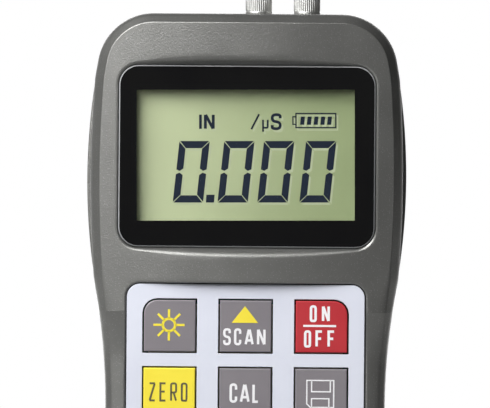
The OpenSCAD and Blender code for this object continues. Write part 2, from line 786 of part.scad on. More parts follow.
module socket(x) {
    color(steel) translate([x, socket_y, case_h]) difference() {
        union() {
            cylinder(r1 = socket_r - base_chamfer, r2 = socket_r, h = base_chamfer, $fn = fine);
            translate([0, 0, base_chamfer])
                cylinder(r = socket_r, h = base_h - base_chamfer + touch, $fn = fine);
            translate([0, 0, base_h])
                linear_extrude(socket_h - 2 * base_h + touch) polygon(ribbed_points(socket_r - rib_sink));
            translate([0, 0, socket_h - base_h])
                cylinder(r = socket_r - base_chamfer / 2, h = base_h, $fn = fine);
            translate([0, 0, -wall - shank_h])
                cylinder(r = shank_r, h = wall + shank_h + touch, $fn = fine);
        }
        translate([0, 0, socket_h - socket_bore_h])
            cylinder(r = socket_bore_r, h = socket_bore_h + overrun, $fn = fine);
        translate([0, 0, -wall - shank_h - overrun])
            cylinder(r = core_r + core_clear, h = wall + shank_h + socket_h + overrun, $fn = fine);
    }
}

module transmit_socket() { socket(socket_places[0]); }
module receive_socket() { socket(socket_places[1]); }

// The insulator and contact inside each socket
module socket_cores() {
    color([0.93, 0.92, 0.88]) for (x = socket_places) translate([x, socket_y, 0]) difference() {
        union() {
            translate([0, 0, core_bottom_z])
                cylinder(r = core_r, h = core_top_z - core_bottom_z, $fn = fine);
            translate([0, 0, core_bottom_z - core_flange_t])
                cylinder(r = shank_r, h = core_flange_t, $fn = fine);
            translate([0, 0, core_bottom_z - core_flange_t - core_tail_h])
                cylinder(r = core_tail_r, h = core_tail_h + touch, $fn = fine);
        }
        translate([0, 0, core_top_z - contact_d])
            cylinder(r = contact_r, h = contact_d + overrun, $fn = fine);
    }
}

module socket_nuts() {
    color(steel) for (x = socket_places)
        translate([x, socket_y, top_thread_z - nut_t]) difference() {
            cylinder(r = nut_flats / sqrt(3), h = nut_t, $fn = 6);
            translate([0, 0, -overrun])
                cylinder(r = shank_r + nut_clear, h = nut_t + 2 * overrun, $fn = fine);
        }
}

// Bare leads from the socket contacts down and forward to the board
module socket_leads() {
    lead_top = core_bottom_z - core_flange_t - core_tail_h;
    land_z = case_h - lead_land_drop;
    color([0.8, 0.6, 0.3]) for (x = socket_places) {
        translate([x, socket_y, land_z]) cylinder(r = lead_r, h = lead_top - land_z, $fn = fine);
        translate([x, socket_y, land_z]) sphere(r = lead_r, $fn = fine);
        peg(lead_r, x, land_z, board_back, socket_y);
    }
}

// A cell standing on its flat end, with its button up
module cell() {
    color([0.3, 0.32, 0.36]) rotate_extrude($fn = fine) polygon([
        [0, 0], [cell_r - cell_round, 0], [cell_r, cell_round],
        [cell_r, cell_h - button_h - cell_round], [cell_r - cell_round, cell_h - button_h],
        [button_r, cell_h - button_h], [button_r, cell_h], [0, cell_h]]);
}

cell_low = bay_z + spring_room + plate_t - contact_gap;
cell_high = bay_top - spring_room - plate_t + contact_gap;

module battery_left() { translate([-cell_x, cell_y, cell_low]) cell(); }
module battery_right() { translate([cell_x, cell_y, cell_high]) mirror([0, 0, 1]) cell(); }

// A tapering coil swept as one tube, standing on z = 0
module battery_spring(length) {
    count = spring_turns * spring_steps;
    rise = length - 2 * spring_wire_r;
    rings = [for (k = [0:count]) let (t = k / count, a = 360 * spring_turns * t,
        r = spring_foot_r + (spring_tip_r - spring_foot_r) * t)
        for (s = [0:spring_sides - 1]) let (b = 360 * s / spring_sides, q = r + spring_wire_r * cos(b))
        [q * cos(a), q * sin(a), spring_wire_r + rise * t + spring_wire_r * sin(b)]];
    sides = [for (k = [0:count - 1]) for (s = [0:spring_sides - 1])
        let (a = k * spring_sides + s, b = k * spring_sides + (s + 1) % spring_sides)
        each [[a, a + spring_sides, b + spring_sides], [a, b + spring_sides, b]]];
    ends = [[for (s = [0:spring_sides - 1]) s],
        [for (s = [spring_sides - 1:-1:0]) count * spring_sides + s]];
    polyhedron(rings, concat(sides, ends));
}

module battery_springs() {
    spring_h = spring_room - 2 * contact_gap;
    color(steel) {
        translate([-cell_x, cell_y, bay_z + plate_t]) battery_spring(spring_h);
        translate([cell_x, cell_y, bay_top - plate_t]) mirror([0, 0, 1]) battery_spring(spring_h);
    }
}

// Two separate plates at the top of the bay, one a cell's button meets and one a spring stands on
module battery_plates() {
    color(steel) for (side = [-1, 1])
        box([side * cell_x - plate_w / 2, cell_y - plate_h / 2, bay_top - plate_t],
            [side * cell_x + plate_w / 2, cell_y + plate_h / 2, bay_top]);
}

// One plate at the foot of the bay joins the cells
module battery_link() {
    color(steel) box([-cell_x - plate_w / 2, cell_y - link_h / 2, bay_z],
        [cell_x + plate_w / 2, cell_y + link_h / 2, bay_z + plate_t]);
}

module battery_cover() {
    color(casing_colour) {
        difference() {
            union() {
                box([-cover_w / 2, back_y - cover_t, hinge_z], [cover_w / 2, back_y, cover_top]);
                translate([-cover_w / 2, hinge_y, hinge_z]) rotate([0, 90, 0])
                    cylinder(r = nose_r, h = cover_w, $fn = fine);
                for (side = [-1, 1])
                    box([side * tongue_side - tongue_w / 2, hinge_y - tongue_t, hinge_z - tongue_h],
                        [side * tongue_side + tongue_w / 2, hinge_y, hinge_z]);
                box([-tab_w / 2, back_y - cover_t - tab_d, cover_top - tab_t],
                    [tab_w / 2, back_y - cover_t + touch, cover_top]);
            }
            for (i = [0:rib_count - 1])
                translate([-rib_w / 2, back_y, cover_top - rib_drop - i * rib_pitch])
                    rotate([0, 90, 0]) cylinder(r = rib_r, h = rib_w, $fn = fine);
        }
    }
}

module reference_disc() {
    color(steel) translate([0, disc_y + disc_t, disc_z]) rotate([90, 0, 0])
        rotate_extrude($fn = fine) polygon([[0, 0], [disc_r, 0], [disc_r, disc_t - disc_edge],
            [disc_r - disc_edge, disc_t], [0, disc_t]]);
}

module label_plate() {
    color([0.72, 0.72, 0.72]) round_plate(label_w, label_h, label_r,
        0, label_z, back_y - label_t, back_y);
}

front_shell();
rear_shell();
case_seal();
case_screws();
display_lens();
lens_gasket();
display_panel();
panel_frame();
light_guide();
contact_strips();
main_board();
board_screws();
processor();
memory_chip();
screening_can();
crystal();
capacitors();
sounder();
keypad_overlay();
key_light();
key_up();
key_power();
key_zero();
key_cal();
key_save();
key_velocity();
key_down();
key_enter();
dome_sheet();
key_domes();
transmit_socket();
receive_socket();
socket_cores();
socket_nuts();
socket_leads();
battery_left();
battery_right();
battery_springs();
battery_plates();
battery_link();
battery_cover();
reference_disc();
label_plate();
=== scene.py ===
import math

import bmesh
import bpy
import numpy as np
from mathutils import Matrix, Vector
from mathutils.geometry import delaunay_2d_cdt


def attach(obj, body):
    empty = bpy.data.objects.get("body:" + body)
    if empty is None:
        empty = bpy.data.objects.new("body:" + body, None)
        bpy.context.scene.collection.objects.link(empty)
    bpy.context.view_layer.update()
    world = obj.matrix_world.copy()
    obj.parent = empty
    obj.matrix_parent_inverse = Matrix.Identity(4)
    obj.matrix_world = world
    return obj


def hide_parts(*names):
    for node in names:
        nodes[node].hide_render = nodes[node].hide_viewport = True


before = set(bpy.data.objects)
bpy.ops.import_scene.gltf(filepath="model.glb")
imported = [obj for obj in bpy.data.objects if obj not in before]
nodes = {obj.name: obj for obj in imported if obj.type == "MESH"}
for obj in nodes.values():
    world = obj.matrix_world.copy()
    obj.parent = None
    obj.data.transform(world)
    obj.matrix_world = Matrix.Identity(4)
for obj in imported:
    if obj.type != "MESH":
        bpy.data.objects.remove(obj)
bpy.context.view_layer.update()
mm = 0.001  # every size below is in millimetres, as on a drawing of the gauge
materials = {}
print("frame loaded:", len(nodes), "nodes")


def sRgb(red, green, blue):
    # a colour picker's 0 to 255 value as the linear value that a shader wants
    c = np.array([red, green, blue]) / 255
    linear = np.where(c <= 0.04045, c / 12.92, ((c + 0.055) / 1.055) ** 2.4)
    return (*linear, 1.0)


# ---- shader nodes, and the groups that many materials share

def feed(tree, socket, value):
    # links another node's output to a socket, or sets a plain value on it
    if isinstance(value, bpy.types.NodeSocket):
        tree.links.new(value, socket)
    else:
        socket.default_value = value


def addNode(tree, kind, **settings):
    # in_ settings feed the node's sockets by name or number, the others are its properties
    node = tree.nodes.new("ShaderNode" + kind)
    for key, value in settings.items():
        if key.startswith("in_"):
            place = key[3:].replace("_", " ")
            feed(tree, node.inputs[int(place) if place.isdigit() else place], value)
        else:
            setattr(node, key, value)
    return node


def mathNode(tree, operation, *values, clamp=False):
    node = addNode(tree, "Math", operation=operation, use_clamp=clamp)
    for socket, value in zip(node.inputs, values):
        feed(tree, socket, value)
    return node.outputs[0]


def product(tree, *values):
    total = values[0]
    for value in values[1:]:
        total = mathNode(tree, "MULTIPLY", total, value)
    return total


def spreadNode(tree, value, low, high, toLow=0.0, toHigh=1.0, smooth=False):
    # low to high becomes toLow to toHigh
    kind = "SMOOTHSTEP" if smooth else "LINEAR"
    return addNode(tree, "MapRange", interpolation_type=kind, in_Value=value, in_From_Min=low,
                   in_From_Max=high, in_To_Min=toLow, in_To_Max=toHigh).outputs[0]


def noiseNode(tree, vector, scale, **settings):
    return addNode(tree, "TexNoise", in_Vector=vector, in_Scale=scale, **settings).outputs[0]


def mixColour(tree, share, first, second, blend="MIX"):
    return addNode(tree, "Mix", data_type="RGBA", blend_type=blend, in_0=share, in_6=first,
                   in_7=second).outputs[2]


def mixShader(tree, share, first, second):
    return addNode(tree, "MixShader", in_0=share, in_1=first, in_2=second).outputs[0]


def newGroup(name, **inputs):
    # inputs and their defaults: one number for a value, three for a vector, four for a colour
    group = bpy.data.node_groups.new(name, "ShaderNodeTree")
    kinds = {1: "Float", 3: "Vector", 4: "Color"}
    for label, value in {"Vector": (0.0, 0.0, 0.0), **inputs}.items():
        socket = group.interface.new_socket(name=label.replace("_", " "), in_out="INPUT",
                                            socket_type="NodeSocket" + kinds[np.size(value)])
        socket.default_value = value
    return group, group.nodes.new("NodeGroupInput").outputs


def endGroup(group, **results):
    for label in results:
        kind = "Color" if label == "Color" else "Float"
        group.interface.new_socket(name=label, in_out="OUTPUT", socket_type="NodeSocket" + kind)
    end = group.nodes.new("NodeGroupOutput")
    for label, result in results.items():
        feed(group, end.inputs[label], result)
    return group


def makeSparkGrain():
    # spark texture of a moulding tool: fine bumps of two sizes, with a few bright pits
    group, given = newGroup("sparkGrain", Scale=2500.0, Speck_Amount=0.3)
    noise = noiseNode(group, given["Vector"], given["Scale"], in_Detail=2.0, in_Roughness=0.6)
    cells = addNode(group, "TexVoronoi", feature="F1", in_Vector=given["Vector"],
                    in_Scale=given["Scale"]).outputs
    height = mathNode(group, "ADD", product(group, noise, 0.6), product(group, cells["Distance"], 0.5))
    tone = addNode(group, "SeparateColor", in_0=cells["Color"]).outputs[0]
    speck = product(group, mathNode(group, "GREATER_THAN", tone, 0.72),
                    mathNode(group, "LESS_THAN", cells["Distance"], 0.3), given["Speck Amount"])
    return endGroup(group, Height=height, Speck=speck)


def makeToneDrift():
    # slow change between two tones, as a moulding or a print has
    group, given = newGroup("toneDrift", Scale=60.0, First=(1, 1, 1, 1), Second=(0.8, 0.8, 0.8, 1))
    noise = noiseNode(group, given["Vector"], given["Scale"], in_Detail=4.0, in_Roughness=0.55)
    mask = spreadNode(group, noise, 0.35, 0.65)
    return endGroup(group, Color=mixColour(group, mask, given["First"], given["Second"]), Mask=mask)


def makeGlossDrift():
    # handled plastic: roughness wanders between a polished and a dull value
    group, given = newGroup("glossDrift", Scale=90.0, Polished=0.3, Dull=0.5)
    noise = noiseNode(group, given["Vector"], given["Scale"], in_Detail=3.0)
    return endGroup(group, Roughness=spreadNode(group, noise, 0.3, 0.7, given["Polished"], given["Dull"]))


def makeEdgeWear():
    # edges rubbed by hands and pockets: pointiness above flat, broken up by noise
    group, given = newGroup("edgeWear", Amount=0.3)
    edge = spreadNode(group, addNode(group, "NewGeometry").outputs["Pointiness"], 0.53, 0.62)
    broken = product(group, edge, noiseNode(group, given["Vector"], 700.0, in_Detail=3.0))
    return endGroup(group, Mask=mathNode(group, "MULTIPLY", broken, given["Amount"], clamp=True))


def makeBrushLines():
    # lines left by brushing or turning: noise stretched along one direction
    group, given = newGroup("brushLines", Stretch=(1.0, 1.0, 1.0), Scale=800.0)
    stretched = addNode(group, "VectorMath", operation="MULTIPLY", in_0=given["Vector"],
                        in_1=given["Stretch"]).outputs[0]
    return endGroup(group, Height=noiseNode(group, stretched, given["Scale"], in_Detail=2.0))


def makeTurnedRings():
    # rings from facing in a lathe, round a centre given in x and z
    group, given = newGroup("turnedRings", Centre=(0.0, 0.0, 0.0), Scale=3000.0)
    away = addNode(group, "VectorMath", operation="SUBTRACT", in_0=given["Vector"], in_1=given["Centre"])
    flat = addNode(group, "VectorMath", operation="MULTIPLY", in_0=away.outputs[0], in_1=(1.0, 0.0, 1.0))
    radius = addNode(group, "VectorMath", operation="LENGTH", in_0=flat.outputs[0]).outputs["Value"]
    noise = addNode(group, "TexNoise", noise_dimensions="1D", in_W=radius, in_Scale=given["Scale"],
                    in_Detail=2.0)
    return endGroup(group, Height=noise.outputs[0])


def makePanelPaintedLight():
    # display colour that is paler at one side: painted light from the lamps on the left
    group, given = newGroup("panelPaintedLight", Left=(1, 1, 1, 1), Right=(1, 1, 1, 1), Half_Width=0.024)
    x = addNode(group, "SeparateXYZ", in_0=given["Vector"]).outputs[0]
    half = given["Half Width"]
    across = spreadNode(group, x, product(group, half, -1.0), half, smooth=True)
    return endGroup(group, Color=mixColour(group, across, given["Left"], given["Right"]))


def makeWaistHollow():
    # the front steps down from head to grip: height is (1-u)^2 - 1, where u runs down from the step's top
    group, given = newGroup("waistHollow", Top=0.08, Span=0.01, Depth=1.0)
    parts = addNode(group, "SeparateXYZ", in_0=given["Vector"]).outputs
    front = spreadNode(group, parts[1], -0.011, -0.004, 1.0, 0.0, smooth=True)
    down = mathNode(group, "SUBTRACT", given["Top"], parts[2])
    left = mathNode(group, "SUBTRACT", 1.0, mathNode(group, "DIVIDE", down, given["Span"], clamp=True))
    curve = mathNode(group, "SUBTRACT", product(group, left, left), 1.0)
    return endGroup(group, Height=product(group, curve, front, given["Depth"]))


groups = {"grain": makeSparkGrain(), "tone": makeToneDrift(), "gloss": makeGlossDrift(),
          "wear": makeEdgeWear(), "lines": makeBrushLines(), "rings": makeTurnedRings(),
          "panel": makePanelPaintedLight(), "hollow": makeWaistHollow()}


def placeGroup(tree, key, vector, **values):
    node = tree.nodes.new("ShaderNodeGroup")
    node.node_tree = groups[key]
    for label, value in {"Vector": vector, **values}.items():
        feed(tree, node.inputs[label.replace("_", " ")], value)
    return node.outputs


def startFinish(name, **constants):
    # a new material: its tree, its shader's sockets and the object's own coordinates
    material = bpy.data.materials.new(name)
    material.use_nodes = True
    materials[name] = material
    tree = material.node_tree
    shader = tree.nodes["Principled BSDF"].inputs
    for label, value in constants.items():
        shader[label.replace("_", " ")].default_value = value
    return tree, shader, addNode(tree, "TexCoord").outputs["Object"]


def dress(tree, shader, vector, colour, rough, glossScale=90.0, height=None, depth=0.0):
    # gives the shader its colour, a wandering roughness and a bump
    feed(tree, shader["Base Color"], colour)
    gloss = placeGroup(tree, "gloss", vector, Polished=rough[0], Dull=rough[1], Scale=glossScale)
    feed(tree, shader["Roughness"], gloss["Roughness"])
    if height is not None:
        bump = addNode(tree, "Bump", in_Strength=1.0, in_Distance=depth * mm, in_Height=height)
        feed(tree, shader["Normal"], bump.outputs[0])


def plasticFinish(name, first, second, rough=(0.4, 0.5), grain=(2500, 0.02), speck=0.0, wear=0.0,
                  wornColour=None, metallic=0.0, specular=0.5, toneScale=60.0, hollow=None):
    # moulded, printed or sheet plastic and rubber
    tree, shader, vector = startFinish(name, Specular_IOR_Level=specular, Metallic=metallic)
    colour = placeGroup(tree, "tone", vector, First=sRgb(*first), Second=sRgb(*second),
                        Scale=toneScale)["Color"]
    spark = placeGroup(tree, "grain", vector, Scale=float(grain[0]), Speck_Amount=speck)
    if speck:
        colour = mixColour(tree, spark["Speck"], colour, (0.5, 0.5, 0.5, 1), "SCREEN")
    if wear:
        worn = placeGroup(tree, "wear", vector, Amount=wear)
        colour = mixColour(tree, worn["Mask"], colour, sRgb(*wornColour))
    height = spark["Height"]
    if hollow:
        top, span, depth = hollow
        step = placeGroup(tree, "hollow", vector, Top=top * mm, Span=span * mm, Depth=depth / grain[1])
        height = mathNode(tree, "ADD", height, step["Height"])
    dress(tree, shader, vector, colour, rough, height=height, depth=grain[1])


def metalFinish(name, first, second, rough=(0.25, 0.4), stretch=(1.0, 1.0, 0.05), scale=900.0,
                depth=0.004, turnedAt=None):
    # brushed, turned or plated metal
    tree, shader, vector = startFinish(name, Metallic=1.0)
    tone = placeGroup(tree, "tone", vector, First=sRgb(*first), Second=sRgb(*second), Scale=150.0)
    if turnedAt is None:
        lines = placeGroup(tree, "lines", vector, Stretch=stretch, Scale=scale)
    else:
        lines = placeGroup(tree, "rings", vector, Centre=turnedAt, Scale=scale)
    dress(tree, shader, vector, tone["Color"], rough, 300.0, lines["Height"], depth)


def clearFinish(name, tint):
    # clear moulding: light for shadows passes straight through it
    tree, shader, vector = startFinish(name, Transmission_Weight=1.0, IOR=1.49)
    dress(tree, shader, vector, tint, (0.0, 0.02))
    path = addNode(tree, "LightPath").outputs
    soft = mathNode(tree, "MAXIMUM", path["Is Shadow Ray"], path["Is Diffuse Ray"])
    clear = addNode(tree, "BsdfTransparent", in_0=tint).outputs[0]
    surface = mixShader(tree, soft, tree.nodes["Principled BSDF"].outputs[0], clear)
    feed(tree, tree.nodes["Material Output"].inputs["Surface"], surface)


def panelFinish(name, left, right, halfWidth):
    # display glass over its reflector; its colour runs paler to the left, which is painted light
    tree, shader, vector = startFinish(name, Metallic=0.35)
    paintedLight = placeGroup(tree, "panel", vector, Left=sRgb(*left), Right=sRgb(*right),
                       Half_Width=halfWidth * mm)
    dress(tree, shader, vector, paintedLight["Color"], (0.36, 0.42))


def cellFinish(name, low, high, bandZ, flip):
    # jacket of a cell: a dark sleeve with a copper-toned band at its button end, bare steel at both ends
    tree, shader, vector = startFinish(name)
    height = addNode(tree, "SeparateXYZ", in_0=vector).outputs[2]
    band = mathNode(tree, "LESS_THAN" if flip else "GREATER_THAN", height, bandZ * mm)
    ends = mathNode(tree, "MAXIMUM", mathNode(tree, "LESS_THAN", height, low * mm),
                    mathNode(tree, "GREATER_THAN", height, high * mm))
    sleeve = placeGroup(tree, "tone", vector, First=sRgb(58, 62, 68), Second=sRgb(50, 54, 60))
    jacket = mixColour(tree, band, sleeve["Color"], sRgb(190, 128, 84))
    feed(tree, shader["Metallic"], ends)
    dress(tree, shader, vector, mixColour(tree, ends, jacket, sRgb(205, 205, 203)), (0.22, 0.34))


# two tones as 0 to 255 values, then what differs from an ordinary moulding
plasticFinish("casing", (136, 136, 133), (130, 130, 127), rough=(0.37, 0.42), grain=(3000, 0.04),
              speck=0.25, wear=0.2, wornColour=(150, 150, 146), metallic=0.8, specular=1.0,
              hollow=(81.2, 12.5, 2.2))
plasticFinish("lensBlack", (20, 20, 20), (17, 17, 18), (0.06, 0.1), (300, 0.002))
plasticFinish("lensRim", (156, 157, 158), (148, 150, 152), (0.3, 0.4), (3000, 0.01), specular=0.1)
plasticFinish("lcdInk", (36, 42, 58), (40, 46, 60), (0.5, 0.6), (3000, 0.001), specular=0.0)
# colour of the painted shadow of the display marks, drawn as their copy a little right of and below them
plasticFinish("lcdPaintedShadow", (188, 196, 164), (184, 192, 160), (0.5, 0.6), (3000, 0.001), specular=0.1)
plasticFinish("overlayFilm", (222, 225, 236), (216, 219, 231), (0.42, 0.5), (3200, 0.012))
plasticFinish("keyGrey", (130, 125, 129), (124, 119, 124), (0.36, 0.46), (3500, 0.02), specular=0.8)
plasticFinish("keyYellow", (248, 230, 70), (244, 224, 64), (0.4, 0.5), (3500, 0.02))
plasticFinish("keyRed", (186, 45, 53), (179, 41, 49), (0.4, 0.5), (3500, 0.02))
plasticFinish("inkWhite", (244, 243, 244), (236, 235, 238), (0.45, 0.55), (3000, 0.004))
plasticFinish("inkYellow", (246, 228, 66), (240, 220, 60), (0.45, 0.55), (3000, 0.004))
plasticFinish("inkDark", (98, 92, 66), (92, 86, 62), (0.45, 0.55), (3000, 0.004))
plasticFinish("sealRubber", (38, 38, 38), (32, 32, 32), (0.7, 0.85), (1500, 0.02))
plasticFinish("stripRubber", (216, 168, 154), (60, 56, 56), (0.6, 0.7), toneScale=900.0)
plasticFinish("whitePlastic", (238, 238, 232), (230, 230, 224))
plasticFinish("boardGreen", (30, 104, 60), (22, 86, 50), (0.3, 0.42), (1800, 0.02))
plasticFinish("chipBlack", (42, 42, 43), (34, 34, 35), (0.5, 0.62), (3000, 0.02))
plasticFinish("sleeveBlue", (54, 66, 104), (46, 58, 94), (0.25, 0.35))
plasticFinish("domeFilm", (226, 208, 150), (218, 198, 138), (0.25, 0.35))
plasticFinish("insulator", (240, 238, 230), (232, 229, 220), (0.35, 0.45))
metalFinish("tinPlate", (206, 206, 203), (190, 190, 188), (0.24, 0.36))
metalFinish("screwSteel", (196, 196, 197), (178, 178, 180), (0.26, 0.4), scale=1500.0)
metalFinish("socketNickel", (232, 232, 229), (214, 214, 212), (0.36, 0.46), depth=0.002)
metalFinish("nutNickel", (200, 194, 180), (184, 178, 164), (0.24, 0.36))
metalFinish("leadBrass", (214, 176, 112), (200, 160, 98), (0.2, 0.32))
metalFinish("discSteel", (192, 193, 195), (176, 177, 180), (0.2, 0.32), scale=2400.0, depth=0.006,
            turnedAt=(0.0, 0.0, 18.5 * mm))
metalFinish("labelMetal", (202, 203, 204), (190, 191, 193), (0.32, 0.42), (0.03, 1.0, 1.0), 2500.0, 0.003)
clearFinish("lensClear", (0.99, 1.0, 0.98, 1.0))
# its two colours make the left side paler than the right: painted light
panelFinish("lcdGlass", (195, 203, 166), (157, 169, 128), 26.0)
cellFinish("cellLeft", 25.9, 73.6, 58.0, False)
cellFinish("cellRight", 22.4, 70.9, 38.5, True)
print("materials made:", len(materials))


# ---- surfaces as whole arrays

def standing(points, y):
    # puts flat x, z points at a depth y
    return np.column_stack([points[:, 0], np.broadcast_to(y, len(points)), points[:, 1]])


def bandBetween(loops):
    # quads between each closed loop and the next
    loops = np.asarray(loops)
    count, size = loops.shape[:2]
    first = np.arange(count - 1)[:, None] * size + np.arange(size)
    second = np.arange(count - 1)[:, None] * size + (np.arange(size) + 1) % size
    quads = np.stack([first, second, second + size, first + size], -1).reshape(-1, 4)
    return loops.reshape(-1, 3), quads


def wallOf(loop, *depths):
    # a flat loop carried straight through some depths
    return bandBetween([standing(loop, y) for y in depths])


def stripBetween(first, second):
    # quads between two open rows of points
    n = len(first)
    i = np.arange(n - 1)
    return np.vstack([first, second]), np.column_stack([i, i + 1, i + 1 + n, i + n])


def insideOf(points, loop):
    # even-odd test: how often a ray in +x crosses the loop
    a, b = loop, np.roll(loop, -1, axis=0)
    px, pz = points[:, :1], points[:, 1:]
    crosses = (a[:, 1] > pz) != (b[:, 1] > pz)
    rise = np.where(b[:, 1] == a[:, 1], 1e-12, b[:, 1] - a[:, 1])
    meet = a[:, 0] + (pz - a[:, 1]) * (b[:, 0] - a[:, 0]) / rise
    return (crosses & (px < meet)).sum(1) % 2 == 1


def betweenLoops(points, outer, holes):
    keep = insideOf(points, outer)
    for hole in holes:
        keep &= ~insideOf(points, hole)
    return keep


def panelBetween(outer, holes, depth, spacing=6.0):
    # triangles between an outer loop and its holes, over a grid of inner points; depth may depend on x
    loops = [outer, *holes]
    low, high = outer.min(0) + spacing / 2, outer.max(0)
    gridX, gridZ = np.meshgrid(np.arange(low[0], high[0], spacing), np.arange(low[1], high[1], spacing))
    grid = np.column_stack([gridX.ravel(), gridZ.ravel()])
    grid = grid[betweenLoops(grid, outer, holes)]
    edge = np.vstack(loops)
    if len(grid):
        near = np.sqrt(((grid[:, None] - edge[None]) ** 2).sum(-1)).min(1)
        grid = grid[near > spacing * 0.4]
    edges, start = [], 0
    for loop in loops:
        size = len(loop)
        edges += [(start + i, start + (i + 1) % size) for i in range(size)]
        start += size
    points = [Vector(p) for p in np.vstack([edge, grid]).tolist()]
    verts, _, faces, *_ = delaunay_2d_cdt(points, edges, [], 0, 1e-7)
    verts = np.array([tuple(v) for v in verts])
    faces = np.array(faces)
    keep = betweenLoops(verts[faces].mean(1), outer, holes)
    return standing(verts, depth(verts[:, 0]) if callable(depth) else depth), faces[keep]


def roundedLoop(x, z, width, height, radii, edgeSteps=14, cornerSteps=8):
    # points and normals of a rounded rectangle, from the upper right corner anticlockwise, radii too
    radii = np.maximum(np.broadcast_to(radii, 4), 0.02)
    points, normals = [], []
    for q, r in enumerate(radii):
        signX, signZ = (1 if q in (0, 3) else -1), (1 if q < 2 else -1)
        a = np.radians(90 * (q + np.linspace(0, 1, cornerSteps + 1)))
        out = np.column_stack([np.cos(a), np.sin(a)])
        points.append([x + signX * (width / 2 - r), z + signZ * (height / 2 - r)] + r * out)
        normals.append(out)
    fullPoints, fullNormals = [], []
    for q in range(4):
        following = points[(q + 1) % 4][0]
        along = np.linspace(0, 1, edgeSteps + 1)[1:-1, None]
        fullPoints += [points[q], points[q][-1] + (following - points[q][-1]) * along]
        fullNormals += [normals[q], np.repeat(normals[q][-1:], edgeSteps - 1, axis=0)]
    return np.vstack(fullPoints), np.vstack(fullNormals)


def circleLoop(x, z, radius, count=96):
    a = np.linspace(0, 2 * np.pi, count, endpoint=False)
    return np.column_stack([x + radius * np.cos(a), z + radius * np.sin(a)])


def roundedEdge(start, corner, end, steps=4):
    # soft edge: each point follows the curve (1-t)^2 start + 2t(1-t) corner + t^2 end
    t = np.linspace(0, 1, steps + 1)[:, None, None]
    return (1 - t) ** 2 * start + 2 * t * (1 - t) * corner + t ** 2 * end


def plateLoop(plate, grow=0.0, edgeSteps=10, cornerSteps=10):
    # outline of a plate from its dictionary, or of the recess round it
    return roundedLoop(0, plate["z"], plate["width"] + 2 * grow, plate["height"] + 2 * grow,
                       plate["radius"] + grow, edgeSteps, cornerSteps)


def lipBand(face, loop, frontY, drop, backY, steps=3):
    # side of a plate or a bore, with a soft front edge
    edge = roundedEdge(standing(face, frontY), standing(loop, frontY), standing(loop, frontY + drop), steps)
    return bandBetween([*edge, standing(loop, backY)])


def plateParts(face, loop, frontY, drop, backY, steps=3, faceHoles=(), backHoles=()):
    return [lipBand(face, loop, frontY, drop, backY, steps), panelBetween(face, faceHoles, frontY),
            panelBetween(loop, backHoles, backY)]


def pitParts(loop, mouthY, floorY, holes=()):
    return [wallOf(loop, mouthY, floorY), panelBetween(loop, holes, floorY)]


def unit(vectors):
    return vectors / np.linalg.norm(vectors, axis=-1, keepdims=True)


def addObject(name, data):
    thing = bpy.data.objects.new(name, data)
    bpy.context.scene.collection.objects.link(thing)
    return thing


def smoothFaces(mesh, finish):
    mesh.polygons.foreach_set("use_smooth", np.ones(len(mesh.polygons), bool))
    mesh.materials.clear()
    mesh.materials.append(materials[finish])


def makePiece(name, parts, body, finish, replaced=(), sharpAngle=38):
    # joins the parts of one piece, points its faces outwards and places it on its body
    starts = np.cumsum([0] + [len(points) for points, _ in parts])[:-1]
    points = np.vstack([np.asarray(p) for p, _ in parts]) * mm
    faces = [face for (_, f), s in zip(parts, starts) for face in (np.asarray(f) + s).tolist()]
    mesh = bpy.data.meshes.new(name)
    mesh.from_pydata(points.tolist(), [], faces)
    merged = bmesh.new()
    merged.from_mesh(mesh)
    bmesh.ops.remove_doubles(merged, verts=merged.verts, dist=2e-6)
    bmesh.ops.recalc_face_normals(merged, faces=merged.faces)
    openEdges = sum(1 for e in merged.edges if len(e.link_faces) != 2)
    merged.to_mesh(mesh)
    merged.free()
    smoothFaces(mesh, finish)
    mesh.set_sharp_from_angle(angle=math.radians(sharpAngle))
    piece = addObject(name, mesh)
    even = piece.modifiers.new("evenNormals", "WEIGHTED_NORMAL")  # wide faces keep their own direction
    even.keep_sharp = True
    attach(piece, body)
    if replaced:
        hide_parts(*replaced)
    if openEdges:
        print("  open edges on", name, openEdges)
    return piece


def softenNode(name, node, finish, body, width, segments=3, angle=30):
    # a CAD node's own shape, merged and given soft edges
    mesh = nodes[node].data.copy()
    mesh.name = name
    merged = bmesh.new()
    merged.from_mesh(mesh)
    bmesh.ops.remove_doubles(merged, verts=merged.verts, dist=2e-6)
    bmesh.ops.dissolve_limit(merged, angle_limit=math.radians(1), verts=merged.verts, edges=merged.edges)
    merged.to_mesh(mesh)
    merged.free()
    for stale in ("custom_normal", "sharp_face"):  # the old shading no longer fits the merged faces
        if stale in mesh.attributes:
            mesh.attributes.remove(mesh.attributes[stale])
    smoothFaces(mesh, finish)
    piece = addObject(name, mesh)
    bevel = piece.modifiers.new("softEdge", "BEVEL")
    bevel.width = width * mm
    bevel.segments = segments
    bevel.limit_method = "ANGLE"
    bevel.angle_limit = math.radians(angle)
    bevel.harden_normals = True
    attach(piece, body)
    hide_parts(node)
    return piece


# ---- the outline and edges of the case

case = {"height": 150, "headWidth": 74, "waist": 4.7, "widestDrop": 38, "headArc": 150, "blendArc": 150,
        "cornerR": 13, "footR": 9, "crownR": 220, "frontY": -16, "backY": 16, "partingY": -3,
        "backRoll": 5, "wall": 2.2, "backWall": 2.4, "sideStep": 0.9, "stepSpan": 23,
        "jointRound": 0.35, "edgeSoft": 0.4, "crispAbove": 96, "softBelow": 74}


def crownAt(x):
    # the crowned front is part of a cylinder about an upright axis: y = front + R - sqrt(R^2 - x^2)
    return case["frontY"] + case["crownR"] - np.sqrt(case["crownR"] ** 2 - np.asarray(x) ** 2)


def onCrown(points):
    return standing(points, crownAt(points[:, 0]))


def arcPoints(centre, radius, start, stop, count):
    a = np.radians(np.linspace(start, stop, count, endpoint=False))
    return np.asarray(centre) + radius * np.column_stack([np.cos(a), np.sin(a)])


